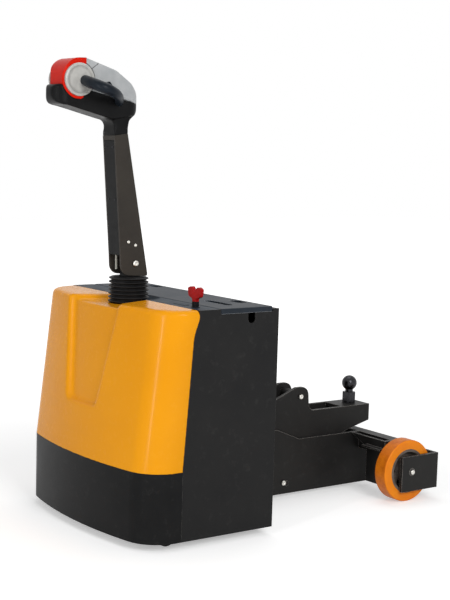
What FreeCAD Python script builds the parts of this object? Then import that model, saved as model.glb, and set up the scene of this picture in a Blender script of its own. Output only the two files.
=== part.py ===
import FreeCAD, Part
import math
import os
import re
import Sketcher
from FreeCAD import Placement, Rotation, Vector

# A walk-behind electric tow tractor. X points to the right as seen from the tiller end, Y points from the
# tiller to the tow ball and Z is up. The origin lies on the floor under the middle of the whole machine.
# Every length below is in millimetres, and every distance "from the axis" is measured from the vertical
# steering axis, about which the drive wheel and the tiller turn.
SIZES = [
    ("body_width", "706", "outside width of the body"),
    ("body_height", "664", "top of the steel rear panel"),
    ("body_clearance", "24", "underside of the body above the floor"),
    ("body_reach", "288", "steering axis to the rear panel"),
    ("head_reach", "273", "steering axis to the front of the tiller head"),
    ("frame_reach", "1008", "steering axis to the rear of the wheel brackets"),
    ("panel_wall", "5", "steel of the side and rear panels"),
    ("skirt_reach", "176", "steering axis to the front of the skirt"),
    ("skirt_height", "222", "seam between skirt and front cover"),
    ("skirt_wall", "6", "steel of the front skirt"),
    ("bow_radius", "1410", "bow of the front in plan"),
    ("corner_radius", "102", "front corners in plan"),
    ("cover_height", "670", "top of the cover, of the deck and of the panels beside it"),
    ("cover_rake", "51", "backward lean of the front cover at its top"),
    ("cover_wall", "4", "moulded wall of the front cover"),
    ("cover_round", "15", "rounding of the cover's top edge"),
    ("seam_foot", "29", "lower end of the side seam, ahead of the axis"),
    ("seam_head", "12", "upper end of the side seam, behind the axis"),
    ("trough_half", "112", "half width of the trough at its open front"),
    ("trough_neck", "70", "half width of the trough beside the bellows"),
    ("recess_half", "64", "half width of the recess floor at its foot"),
    ("recess_head_half", "131", "half width of the recess floor at its head"),
    ("recess_foot", "383", "foot of the recess floor"),
    ("recess_bevel", "30", "width of the recess's sloping sides"),
    ("recess_depth", "16", "depth of the front recess and of the trough behind it"),
    ("lid_front", "84", "front edge of the battery lid"),
    ("lid_rear", "268", "rear edge of the battery lid"),
    ("lid_lip", "15", "height of the lid's upright lip"),
    ("lid_wall", "4", "moulded wall of the lid"),
    ("lid_round", "4", "rounding of the lid's upper edges"),
    ("hand_depth", "9", "depth of the hand recesses in the lid"),
    ("indicator_half", "32", "half length of the battery indicator"),
    ("indicator_end", "11", "half width of the battery indicator"),
    ("indicator_sunk", "3", "depth of the indicator's seat"),
    ("key_radius", "13", "foot of the emergency key"),
    ("key_seat", "12", "depth of the key's seat"),
    ("key_wall", "12", "thickness of the key's wings"),
    ("deck_wall", "12", "floor of the deck under the bellows"),
    ("lid_gap", "0.4", "gap round the lid"),
    ("bulkhead_place", "130", "bulkhead behind the axis"),
    ("tray_height", "60", "underside of the battery tray"),
    ("battery_height", "490", "height of the battery"),
    ("battery_width", "600", "width of the battery"),
    ("mount_height", "300", "underside of the drive mount plate"),
    ("mount_wall", "12", "thickness of the drive mount plate"),
    ("drive_radius", "115", "radius of the drive wheel"),
    ("drive_width", "75", "width of the drive wheel"),
    ("drive_hub_radius", "82", "radius under the drive tyre"),
    ("neck_radius", "60", "neck of the drive unit"),
    ("column_radius", "22", "steering column"),
    ("pivot_height", "772", "tilt pivot of the tiller"),
    ("pivot_radius", "7", "tilt pivot pin"),
    ("bellows_radius", "58", "outer folds of the bellows"),
    ("bellows_height", "63", "height of the folds"),
    ("arm_half", "34", "half width of the tiller arm"),
    ("arm_wall", "6", "side plate of the tiller arm"),
    ("grip_radius", "14", "tube of the loop handles"),
    ("grip_half", "156", "half width over the centre lines of the handles"),
    ("button_half", "44", "half width of the belly button"),
    ("head_round", "43", "corners of the head in plan"),
    ("head_edge", "9", "rounding of the head's crown"),
    ("button_round", "12", "rounding of the belly button's ends"),
    ("knob_radius", "46", "radius of the butterfly knobs"),
    ("knob_wall", "8", "thickness of the butterfly knobs"),
    ("wheelbase", "894", "steering axis to the rear axles"),
    ("wheel_radius", "100", "radius of the rear wheels"),
    ("wheel_width", "50", "width of the rear wheels"),
    ("wheel_place", "256", "middle of each rear wheel from the centre plane"),
    ("rim_radius", "71", "radius under the rear tyres"),
    ("axle_radius", "12", "rear axles"),
    ("wheel_gap", "8", "gap between a rear wheel and its plates"),
    ("bracket_wall", "10", "plates of the wheel brackets"),
    ("bracket_foot", "37", "lower edge of the wheel brackets"),
    ("bracket_head", "152", "upper edge of the outer bracket plate"),
    ("beam_head", "190", "top of the rear cross beam"),
    ("beam_foot", "134", "underside of the rear cross beam"),
    ("beam_place", "876", "front face of the rear cross beam"),
    ("beam_depth", "40", "depth of the rear cross beam"),
    ("beam_wall", "5", "wall of the rear cross beam"),
    ("brace_place", "842", "front face of the diagonal brace plates"),
    ("frame_foot", "16", "lower edge of the low frame plates"),
    ("frame_wall", "10", "thickness of the low frame plates"),
    ("hitch_half", "49", "half width of the hitch frame"),
    ("hitch_wall", "10", "plates of the hitch frame"),
    ("hitch_head", "277", "top of the hitch frame"),
    ("hitch_reach", "925", "steering axis to the rear of the hitch frame"),
    ("ear_place", "627", "steering axis to the cross pin in the ears"),
    ("ear_height", "326", "height of the cross pin"),
    ("ear_radius", "31", "radius of the ears"),
    ("pin_radius", "8", "cross pin in the ears"),
    ("ball_radius", "25", "tow ball"),
    ("ball_place", "876", "steering axis to the tow ball"),
    ("ball_height", "344", "centre of the tow ball"),
    ("post_width", "36", "square post under the tow ball"),
    ("caster_place", "288", "swivel of each stabiliser from the centre plane"),
    ("caster_setback", "20", "swivel of each stabiliser ahead of the axis"),
    ("caster_radius", "30", "stabiliser wheel"),
    ("caster_width", "24", "stabiliser wheel width"),
    ("caster_trail", "20", "trail of the stabiliser wheel"),
    ("shelf_height", "84", "underside of the stabiliser shelves"),
    ("bolt_radius", "9", "heads of the large bolts"),
    ("bolt_head", "4", "height of the large bolt heads"),
    ("running_gap", "0.05", "radial clearance in a turning fit"),
    ("turning_gap", "0.3", "gap between round faces that turn past each other"),
]

doc = FreeCAD.newDocument("TowTractor")
sheet = doc.addObject("Spreadsheet::Sheet", "Sizes")
for row, (alias, number, meaning) in enumerate(SIZES, start=1):
    sheet.set(f"A{row}", alias)
    sheet.set(f"B{row}", number)
    sheet.set(f"C{row}", meaning)
    sheet.setAlias(f"B{row}", alias)
doc.recompute()
WORDS = {alias for alias, number, meaning in SIZES}

# Places that several pieces share, worked out from the sheet.
AXIS = "((head_reach - frame_reach) / 2)"
SIDE = "(body_width / 2)"
INSIDE = f"({SIDE} - panel_wall)"
LID_SEAT = "(cover_height - 14)"
PLATE_IN = "(wheel_place - wheel_width / 2 - wheel_gap)"
PLATE_OUT = "(wheel_place + wheel_width / 2 + wheel_gap)"
FRAME_SIDE = "(hitch_half + frame_wall)"
GEARBOX_IN = "(drive_width / 2 + 6)"
ARM_INSIDE = "(arm_half - arm_wall)"
TROUGH_FLOOR = "(cover_height - recess_depth)"
DECK_MIDDLE = "((seam_head + lid_front) / 2)"
KEY_ACROSS = f"({SIDE} - 73)"
INDICATOR_ACROSS = f"({SIDE} - 145)"
HEAD_ALONG = "(72 - head_reach)"
HEAD_UP = "(pivot_height + 519)"


def bound(rule):
    """The rule as an expression on the sheet."""
    word = r"[a-z]+(?:_[a-z]+)*"
    return re.sub(word, lambda found: f"Sizes.{found[0]}" if found[0] in WORDS else found[0], str(rule))


def value(rule):
    """The rule's present value."""
    return float(sheet.evalExpression(bound(rule)))


# --- sketches ---------------------------------------------------------------------------------


def new_body(name):
    body = doc.addObject("PartDesign::Body", name)
    body.AllowCompound = True
    return body


def sketch_on(body, plane, offset="0"):
    """A sketch on one of the body's origin planes, moved along its normal."""
    sketch = body.newObject("Sketcher::SketchObject", f"{body.Name}_sketch")
    support = next(item for item in body.Origin.OriginFeatures if item.Role == plane)
    sketch.AttachmentSupport = [(support, "")]
    sketch.MapMode = "FlatFace"
    sketch.setExpression("AttachmentOffset.Base.z", bound(offset))
    return sketch


def fix_point(sketch, geometry, end, across, up):
    """Binds a point of the sketch to two rules."""
    for kind, rule in (("DistanceX", across), ("DistanceY", up)):
        number = sketch.addConstraint(Sketcher.Constraint(kind, -1, 1, geometry, end, value(rule)))
        sketch.setExpression(f"Constraints[{number}]", bound(rule))


def fix_radius(sketch, geometry, rule):
    number = sketch.addConstraint(Sketcher.Constraint("Radius", geometry, value(rule)))
    sketch.setExpression(f"Constraints[{number}]", bound(rule))


def circle(sketch, across, up, radius):
    centre = Vector(value(across), value(up), 0)
    geometry = sketch.addGeometry(Part.Circle(centre, Vector(0, 0, 1), value(radius)), False)
    fix_point(sketch, geometry, 3, across, up)
    fix_radius(sketch, geometry, radius)


def outline(sketch, corners):
    """A closed outline of straight edges. A corner is (across, up) or (across, up, radius)."""
    points = [Vector(value(corner[0]), value(corner[1]), 0) for corner in corners]
    total = len(points)
    ends = []
    for index, corner in enumerate(corners):
        here = points[index]
        if len(corner) == 2:
            ends.append((here, here, None))
            continue
        before = (points[index - 1] - here).normalize()
        after = (points[(index + 1) % total] - here).normalize()
        half_angle = before.getAngle(after) / 2
        radius = value(corner[2])
        reach = radius / math.tan(half_angle)
        centre = here + (before + after).normalize() * (radius / math.sin(half_angle))
        ends.append((here + before * reach, here + after * reach, centre))
    lines = []
    for index in range(total):
        start = ends[index][1]
        stop = ends[(index + 1) % total][0]
        lines.append(sketch.addGeometry(Part.LineSegment(start, stop), False))
    for index, corner in enumerate(corners):
        arriving = lines[index - 1]
        leaving = lines[index]
        first, last, centre = ends[index]
        if centre is None:
            sketch.addConstraint(Sketcher.Constraint("Coincident", arriving, 2, leaving, 1))
            fix_point(sketch, leaving, 1, corner[0], corner[1])
            continue
        turn = (points[index] - first).cross(last - points[index]).z
        start, stop = (first, last) if turn > 0 else (last, first)
        from_angle = math.atan2(start.y - centre.y, start.x - centre.x)
        to_angle = math.atan2(stop.y - centre.y, stop.x - centre.x)
        rim = Part.Circle(centre, Vector(0, 0, 1), value(corner[2]))
        arc = sketch.addGeometry(Part.ArcOfCircle(rim, from_angle, to_angle), False)
        entry, leave = (1, 2) if turn > 0 else (2, 1)
        tip = sketch.addGeometry(Part.Point(points[index]), True)
        fix_point(sketch, tip, 1, corner[0], corner[1])
        sketch.addConstraint(Sketcher.Constraint("PointOnObject", tip, 1, arriving))
        sketch.addConstraint(Sketcher.Constraint("PointOnObject", tip, 1, leaving))
        sketch.addConstraint(Sketcher.Constraint("Tangent", arriving, 2, arc, entry))
        sketch.addConstraint(Sketcher.Constraint("Tangent", arc, leave, leaving, 1))
        fix_radius(sketch, arc, corner[2])


def bow_plan(sketch, half, front, rear, bow, corner):
    """A plan with a bowed front, two round front corners and a straight rear edge."""
    across = value(half)
    start_y = value(front)
    bow_r = value(bow)
    corner_r = value(corner)
    bow_centre = Vector(0, start_y + bow_r, 0)
    rise = math.sqrt((bow_r - corner_r) ** 2 - (across - corner_r) ** 2)
    level = bow_centre.y - rise
    lean = math.atan2(across - corner_r, rise)
    up = Vector(0, 0, 1)
    right_corner = Vector(across - corner_r, level, 0)
    left_corner = Vector(corner_r - across, level, 0)
    back = value(rear)
    down = 1.5 * math.pi
    shapes = [
        Part.LineSegment(Vector(across, level, 0), Vector(across, back, 0)),
        Part.LineSegment(Vector(across, back, 0), Vector(-across, back, 0)),
        Part.LineSegment(Vector(-across, back, 0), Vector(-across, level, 0)),
        Part.ArcOfCircle(Part.Circle(left_corner, up, corner_r), math.pi, down - lean),
        Part.ArcOfCircle(Part.Circle(bow_centre, up, bow_r), down - lean, down + lean),
        Part.ArcOfCircle(Part.Circle(right_corner, up, corner_r), down + lean, 2 * math.pi),
    ]
    for shape in shapes:
        sketch.addGeometry(shape, False)
    for first, second in ((0, 1), (1, 2)):
        sketch.addConstraint(Sketcher.Constraint("Coincident", first, 2, second, 1))
    for first, second in ((2, 3), (3, 4), (4, 5), (5, 0)):
        sketch.addConstraint(Sketcher.Constraint("Tangent", first, 2, second, 1))
    for upright in (0, 2):
        sketch.addConstraint(Sketcher.Constraint("Vertical", upright))
    fix_point(sketch, 0, 2, half, rear)
    fix_point(sketch, 2, 1, f"-1 * ({half})", rear)
    fix_radius(sketch, 3, corner)
    fix_radius(sketch, 4, bow)
    fix_radius(sketch, 5, corner)
    fix_point(sketch, 4, 3, "0", f"{front} + {bow}")


# --- features ---------------------------------------------------------------------------------


def pad(body, sketch, length, both_ways=False, backward=False):
    feature = body.newObject("PartDesign::Pad", f"{body.Name}_pad")
    feature.Profile = sketch
    feature.setExpression("Length", bound(length))
    feature.SideType = "Symmetric" if both_ways else "One side"
    feature.Reversed = backward
    doc.recompute()
    return feature


def pocket(body, sketch, length, both_ways=False, backward=False):
    """Cuts a pocket and makes sure that it took material away."""
    doc.recompute()
    before = body.Shape.Volume
    feature = body.newObject("PartDesign::Pocket", f"{body.Name}_pocket")
    feature.Profile = sketch
    feature.setExpression("Length", bound(length))
    feature.SideType = "Symmetric" if both_ways else "One side"
    feature.Reversed = backward
    doc.recompute()
    assert body.Shape.Volume < before - 1, f"{feature.Name} cuts nothing"
    return feature


def turned(body, sketch, axis="H_Axis"):
    feature = body.newObject("PartDesign::Revolution", f"{body.Name}_revolution")
    feature.Profile = sketch
    feature.ReferenceAxis = (sketch, [axis])
    feature.Angle = 360
    doc.recompute()
    return feature


def round_edges(body, radius, wanted):
    """Rounds the edges that the test picks."""
    doc.recompute()
    base = body.Tip
    names = [f"Edge{n}" for n, edge in enumerate(base.Shape.Edges, start=1) if wanted(edge)]
    assert names, f"no edge to round on {body.Name}"
    feature = body.newObject("PartDesign::Fillet", f"{body.Name}_fillet")
    feature.Base = (base, names)
    feature.setExpression("Radius", bound(radius))
    doc.recompute()
    return feature


parts = []


def finish(item, label, across="0", along="0", up="0"):
    """Names a sub-part and puts it in its place, measured from the steering axis at floor level."""
    item.Label = label
    item.setExpression("Placement.Base.x", bound(across))
    item.setExpression("Placement.Base.y", bound(f"{AXIS} + {along}"))
    item.setExpression("Placement.Base.z", bound(up))
    parts.append(item)
    doc.recompute()
    return item


def plate(label, plane, corners, thickness, offset="0", both_ways=False):
    """A flat plate: one outline, one thickness."""
    body = new_body(label)
    sketch = sketch_on(body, plane, offset)
    outline(sketch, corners)
    pad(body, sketch, thickness, both_ways)
    return body


def box_corners(left, low, right, high):
    return [(left, low), (right, low), (right, high), (left, high)]


# --- body: steel panels -----------------------------------------------------------------------

# The side seam between the cover and the steel panel, from the skirt up, in Y and Z.
SEAM = [
    ("-1 * seam_foot", "skirt_height"),
    ("seam_head - 14", "cover_height - 70", "120"),
    ("seam_head + 4", "cover_height - 22", "40"),
    ("seam_head", "cover_height"),
]


def side_panel(label, sign):
    """Steel side with the curved seam in front, a step for the lid and a finger notch under it."""
    corners = [
        ("-1 * seam_foot", "body_clearance"),
        ("body_reach", "body_clearance"),
        ("body_reach", "body_height"),
        ("lid_rear", "body_height"),
        ("lid_rear", LID_SEAT),
        ("lid_front + 121", LID_SEAT),
        ("lid_front + 121", "body_height - 38", "12"),
        ("lid_front + 95", "body_height - 38", "12"),
        ("lid_front + 95", LID_SEAT),
        ("lid_front", LID_SEAT),
        ("lid_front", "cover_height"),
    ]
    corners += list(reversed(SEAM))
    offset = INSIDE if sign > 0 else f"-1 * {SIDE}"
    finish(plate(label, "YZ_Plane", corners, "panel_wall", offset), label)


side_panel("side_panel_right", 1)
side_panel("side_panel_left", -1)

rear_panel = plate(
    "rear_panel",
    "YZ_Plane",
    [
        ("body_reach - panel_wall", "body_clearance"),
        ("body_reach", "body_clearance"),
        ("body_reach", "body_height", "3"),
        ("lid_rear", "body_height"),
        ("lid_rear", "body_height - panel_wall"),
        ("body_reach - panel_wall", "body_height - panel_wall"),
    ],
    f"2 * {INSIDE}",
    both_ways=True,
)
finish(rear_panel, "rear_panel")

bulkhead = plate(
    "bulkhead",
    "YZ_Plane",
    box_corners("bulkhead_place", "tray_height", "bulkhead_place + panel_wall", "body_height - 50"),
    f"2 * {INSIDE}",
    both_ways=True,
)
finish(bulkhead, "bulkhead")

battery_tray = plate(
    "battery_tray",
    "YZ_Plane",
    box_corners(
        "bulkhead_place + panel_wall", "tray_height", "body_reach - panel_wall", "tray_height + panel_wall"
    ),
    f"2 * {INSIDE}",
    both_ways=True,
)
finish(battery_tray, "battery_tray")

battery = plate(
    "battery",
    "YZ_Plane",
    [
        ("bulkhead_place + panel_wall + 3", "tray_height + panel_wall"),
        ("body_reach - panel_wall - 3", "tray_height + panel_wall"),
        ("body_reach - panel_wall - 3", "tray_height + panel_wall + battery_height"),
        ("bulkhead_place + panel_wall + 3", "tray_height + panel_wall + battery_height"),
    ],
    "battery_width",
    both_ways=True,
)
finish(battery, "battery")

# --- body: drive mount plate with its bearing ring --------------------------------------------

drive_mount = plate(
    "drive_mount",
    "XY_Plane",
    [
        (f"-1 * {INSIDE}", "-28"),
        (f"60 - {INSIDE}", "-28"),
        (f"60 - {INSIDE}", "58 - skirt_reach", "20"),
        (f"{INSIDE} - 60", "58 - skirt_reach", "20"),
        (f"{INSIDE} - 60", "-28"),
        (INSIDE, "-28"),
        (INSIDE, "bulkhead_place"),
        (f"-1 * {INSIDE}", "bulkhead_place"),
    ],
    "mount_wall",
    "mount_height",
)
ring = sketch_on(drive_mount, "XY_Plane", "mount_height - 29.7")
circle(ring, "0", "0", "neck_radius + 35")
pad(drive_mount, ring, "29.7")
ring_hole = sketch_on(drive_mount, "XY_Plane", "mount_height - 40")
circle(ring_hole, "0", "0", "neck_radius + turning_gap")
pocket(drive_mount, ring_hole, "80", backward=True)
finish(drive_mount, "drive_mount")

# --- body: front skirt ------------------------------------------------------------------------

skirt = new_body("front_skirt")
skirt_outer = sketch_on(skirt, "XY_Plane", "body_clearance")
bow_plan(skirt_outer, SIDE, "-1 * skirt_reach", "-1 * seam_foot", "bow_radius", "corner_radius")
pad(skirt, skirt_outer, "skirt_height - body_clearance")
skirt_inner = sketch_on(skirt, "XY_Plane", "body_clearance - 1")
bow_plan(
    skirt_inner,
    f"{SIDE} - skirt_wall",
    "skirt_wall - skirt_reach",
    "10 - seam_foot",
    "bow_radius - skirt_wall",
    "corner_radius - skirt_wall",
)
pocket(skirt, skirt_inner, "skirt_height", backward=True)
finish(skirt, "front_skirt")

# --- body: moulded front cover with its tapered recess and trough -----------------------------

LEAN = math.degrees(math.atan2(value("cover_rake"), value("cover_height - skirt_height")))
BEVEL = "(recess_bevel / recess_depth)"


def ruled_loft(body, sections):
    feature = body.newObject("PartDesign::AdditiveLoft", f"{body.Name}_loft")
    feature.Profile = sections[0]
    feature.Sections = sections[1:]
    feature.Ruled = True
    doc.recompute()


def cut(name, base, tool):
    result = doc.addObject("Part::Cut", name)
    result.Base = base
    result.Tool = tool
    doc.recompute()
    return result


def cover_form(name, wall):
    """The cover's outer form drawn in by the wall: its plan leans back as it rises to a rounded edge."""
    top = f"(cover_height - {wall})"

    def on_top_edge(edge):
        return edge.BoundBox.ZMin > value(top) - 0.1 and edge.BoundBox.YLength > 1

    body = new_body(name)
    plan = sketch_on(body, "XY_Plane", "skirt_height")
    half = f"({SIDE} - {wall})"
    front = f"({wall} - skirt_reach)"
    bow_plan(plan, half, front, "60", f"(bow_radius - {wall})", f"(corner_radius - {wall})")
    leaning = pad(body, plan, f"{top} - skirt_height")
    leaning.UseCustomVector = True
    leaning.AlongSketchNormal = True
    leaning.Direction = Vector(0, value("cover_rake"), value("cover_height - skirt_height"))
    round_edges(body, f"max(cover_round - {wall}; 3)", on_top_edge)
    return body


def recess_block(name, grow):
    """A wedge with sloping sides, square to the raked front, that widens from its foot to the trough."""
    body = new_body(name)
    widening = "((recess_head_half - recess_half) / (cover_height - recess_foot))"
    sections = []
    for depth in ("(recess_depth + cover_wall + 6)", "(0 - recess_depth)"):
        section = sketch_on(body, "XZ_Plane")
        section.AttachmentOffset = Placement(Vector(0, 0, 0), Rotation(Vector(1, 0, 0), -LEAN))
        section.setExpression("AttachmentOffset.Base.y", bound(f"skirt_height - {depth} * sin({LEAN})"))
        section.setExpression("AttachmentOffset.Base.z", bound(f"skirt_reach - {depth} * cos({LEAN})"))
        spread = f"((recess_depth - {depth}) * {BEVEL} + 2 * {grow})"
        foot_half = f"(recess_half + {spread})"
        head_half = f"(recess_half + {widening} * (cover_height + 60 - recess_foot) + {spread})"
        foot = f"(recess_foot - skirt_height - 0.7 * {spread})"
        head = "(cover_height + 60 - skirt_height)"
        corners = [
            (f"-1 * {foot_half}", foot, "24"),
            (foot_half, foot, "24"),
            (head_half, head),
            (f"-1 * {head_half}", head),
        ]
        outline(section, corners)
        sections.append(section)
    ruled_loft(body, sections)
    return body


def trough_block(name, grow):
    """The trough round the bellows, open to the front, with sides that slope at 45 degrees."""
    body = new_body(name)
    sections = []
    for height in (f"({TROUGH_FLOOR} - {grow})", "(cover_height + 8)"):
        section = sketch_on(body, "XY_Plane", height)
        spread = f"({height} - {TROUGH_FLOOR} + 2.4 * {grow})"
        mouth = f"(trough_half + {spread})"
        neck = f"(trough_neck + {spread})"
        corners = [
            (f"-1 * {mouth}", "-1.6 * skirt_reach"),
            (mouth, "-1.6 * skirt_reach"),
            (mouth, "-0.6 * skirt_reach", "60"),
            (neck, "-8", "60"),
            (neck, neck, "60"),
            (f"-1 * {neck}", neck, "60"),
            (f"-1 * {neck}", "-8", "60"),
            (f"-1 * {mouth}", "-0.6 * skirt_reach", "60"),
        ]
        outline(section, corners)
        sections.append(section)
    ruled_loft(body, sections)
    return body


def hollowed(name, form, skin):
    """The form less the recess and the trough, whose floors and sides lie deeper by the skin."""
    floor = cover_form(f"{name}_floor", f"(recess_depth + {skin})")
    recess = cut(f"{name}_recess", recess_block(f"{name}_wedge", skin), floor)
    without_recess = cut(f"{name}_less_recess", form, recess)
    return cut(f"{name}_less_trough", without_recess, trough_block(f"{name}_trough", skin))


seam_side = [("-2 * skirt_reach", "skirt_height - 10"), ("-1 * seam_foot", "skirt_height - 10")]
seam_side += SEAM + [("seam_head", "cover_height + 10"), ("-2 * skirt_reach", "cover_height + 10")]
cover_bow = cover_form("cover_bow", "0")
cover_side = plate("cover_side", "YZ_Plane", seam_side, "body_width + 40", both_ways=True)
cover_outer = doc.addObject("Part::MultiCommon", "cover_outer")
cover_outer.Shapes = [cover_bow, cover_side]
doc.recompute()
cover_face = hollowed("cover_face", cover_outer, "0")
cavity = hollowed("cover_cavity", cover_form("cover_inner", "cover_wall"), "cover_wall")
column_hole = doc.addObject("Part::Cylinder", "cover_hole")
column_hole.setExpression("Radius", bound("column_radius + 18"))
column_hole.setExpression("Height", bound("2 * cover_height"))
front_cover = cut("front_cover", cut("cover_shell", cover_face, cavity), column_hole)
finish(front_cover, "front_cover")

# --- body: dark top deck ----------------------------------------------------------------------

deck_body = plate(
    "deck_body",
    "YZ_Plane",
    [
        ("seam_head + 0.3", "cover_height"),
        ("seam_head + 4.3", "cover_height - 22"),
        ("seam_head + 4.3", f"{TROUGH_FLOOR} - deck_wall"),
        ("lid_front - lid_gap", f"{TROUGH_FLOOR} - deck_wall"),
        ("lid_front - lid_gap", "cover_height"),
    ],
    f"2 * {INSIDE}",
    both_ways=True,
)
deck_hole = sketch_on(deck_body, "XY_Plane", f"{TROUGH_FLOOR} - deck_wall - 1")
circle(deck_hole, "0", "0", "column_radius + 18")
pocket(deck_body, deck_hole, "2 * deck_wall", backward=True)
key_seat = sketch_on(deck_body, "XY_Plane", "cover_height - key_seat")
circle(key_seat, KEY_ACROSS, DECK_MIDDLE, "key_radius")
pocket(deck_body, key_seat, "2 * key_seat", backward=True)
INDICATOR = [
    ("-1 * indicator_half", "-1 * indicator_end", "0.95 * indicator_end"),
    ("indicator_half", "-1 * indicator_end", "0.95 * indicator_end"),
    ("indicator_half", "indicator_end", "0.95 * indicator_end"),
    ("-1 * indicator_half", "indicator_end", "0.95 * indicator_end"),
]
indicator_seat = sketch_on(deck_body, "XY_Plane", "cover_height - indicator_sunk")
outline(indicator_seat, [(f"{INDICATOR_ACROSS} + {x}", f"{DECK_MIDDLE} + {y}", r) for x, y, r in INDICATOR])
pocket(deck_body, indicator_seat, "2 * indicator_sunk", backward=True)
top_deck = cut("top_deck", deck_body, trough_block("deck_trough", "0"))
finish(top_deck, "top_deck")

# --- body: battery lid with its hand recesses -------------------------------------------------

# Each recess reaches from one distance off the machine's side to another, and from one place on the lid
# to another.
HAND_RECESSES = [
    (f"{SIDE} - 188", f"{SIDE} - 65", "lid_front + 68", "lid_front + 94"),
    (f"{SIDE} - 158", f"{SIDE} - 100", "lid_front + 136", "lid_front + 170"),
]


def hand_blocks(name, low, grow, height):
    """The recesses of both sides as blocks, grown all round."""
    body = new_body(name)
    sketch = sketch_on(body, "XY_Plane", low)
    radius = f"(12 + {grow})"
    for inner, outer, front, rear in HAND_RECESSES:
        for sign in (1, -1):
            near = f"{sign} * ({inner} - {grow})"
            far = f"{sign} * ({outer} + {grow})"
            left, right = (near, far) if sign > 0 else (far, near)
            corners = box_corners(left, f"{front} - {grow}", right, f"{rear} + {grow}")
            outline(sketch, [(*corner, radius) for corner in corners])
    pad(body, sketch, height)
    return body


def lid_block(name, inset, low, height):
    body = new_body(name)
    sketch = sketch_on(body, "XY_Plane", low)
    half = f"({SIDE} - {inset})"
    corners = box_corners(
        f"-1 * {half}", f"lid_front + {inset}", half, f"lid_rear - lid_gap - {inset}"
    )
    outline(sketch, [(*corner, f"2 * lid_wall - {inset}") for corner in corners])
    pad(body, sketch, height)
    return body


lid_top = f"({LID_SEAT} + lid_lip)"
lid_outer = lid_block("lid_outer", "0", LID_SEAT, "lid_lip")
round_edges(lid_outer, "lid_round", lambda edge: edge.BoundBox.ZMin > value(lid_top) - 0.1)
lid_inner = lid_block("lid_inner", "lid_wall", f"{LID_SEAT} - 1", "lid_lip - lid_wall + 1")
lid_space = cut("lid_space", lid_inner, hand_blocks("lid_pans", LID_SEAT, "lid_wall", "lid_lip"))
lid_shell = cut("lid_shell", lid_outer, lid_space)
lid_hands = hand_blocks("lid_hands", f"{lid_top} - hand_depth", "0", "lid_lip")
battery_lid = cut("battery_lid", lid_shell, lid_hands)
finish(battery_lid, "battery_lid")

# --- body: bellows, indicator and emergency key -----------------------------------------------

FOLDS = 5
bellows = new_body("bellows")
folds = sketch_on(bellows, "XZ_Plane")
pitch = f"(bellows_height - 6) / {FOLDS}"
outside = [("bellows_radius + 2", "0"), ("bellows_radius + 2", "4"), ("bellows_radius - 9", "4")]
for fold in range(FOLDS):
    outside.append(("bellows_radius", f"4 + ({fold} + 0.5) * {pitch}", "1.5"))
    outside.append((f"bellows_radius - 9 - {fold}", f"4 + ({fold} + 1) * {pitch}"))
outside += [("column_radius + 5", "bellows_height - 1"), ("column_radius + 5", "bellows_height + 5")]
inside = [
    ("column_radius + turning_gap", "bellows_height + 5"),
    ("column_radius + turning_gap", "bellows_height - 4"),
]
for fold in reversed(range(FOLDS)):
    inside.append((f"bellows_radius - 13 - {fold}", f"4 + ({fold} + 1) * {pitch} - 1"))
    inside.append(("bellows_radius - 5", f"4 + ({fold} + 0.5) * {pitch}"))
inside.append(("bellows_radius - 13", "0"))
outline(folds, list(reversed(outside + inside)))
turned(bellows, folds, "V_Axis")
finish(bellows, "bellows", up=TROUGH_FLOOR)

indicator = plate("battery_indicator", "XY_Plane", INDICATOR, "indicator_sunk + 1")
finish(indicator, "battery_indicator", INDICATOR_ACROSS, DECK_MIDDLE, "cover_height - indicator_sunk")

# The key's foot sits in the deck, and its handle is a pair of wings over a narrow stem.
key = new_body("emergency_key")
key_stem = sketch_on(key, "XZ_Plane")
outline(
    key_stem,
    [
        ("0", "-1 * key_seat"),
        ("key_radius", "-1 * key_seat"),
        ("key_radius", "2"),
        ("key_radius - 3", "2"),
        ("key_radius - 3", "16"),
        ("0", "16"),
    ],
)
turned(key, key_stem, "V_Axis")
key_wings = sketch_on(key, "XZ_Plane")
outline(
    key_wings,
    [
        ("7", "12"),
        ("9", "24", "4"),
        ("27", "30", "6"),
        ("32", "52", "6"),
        ("15", "58", "7"),
        ("0", "40", "7"),
        ("-15", "58", "7"),
        ("-32", "52", "6"),
        ("-27", "30", "6"),
        ("-9", "24", "4"),
        ("-7", "12"),
    ],
)
pad(key, key_wings, "key_wall", both_ways=True)
finish(key, "emergency_key", KEY_ACROSS, DECK_MIDDLE, "cover_height")

# --- wheels -----------------------------------------------------------------------------------


def tyre(label, radius, rim, width, edge, across, along, up):
    body = new_body(label)
    section = sketch_on(body, "XZ_Plane")
    outline(
        section,
        [
            (f"-0.5 * {width}", rim),
            (f"0.5 * {width}", rim),
            (f"0.5 * {width}", radius, edge),
            (f"-0.5 * {width}", radius, edge),
        ],
    )
    turned(body, section)
    finish(body, label, across, along, up)


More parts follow.
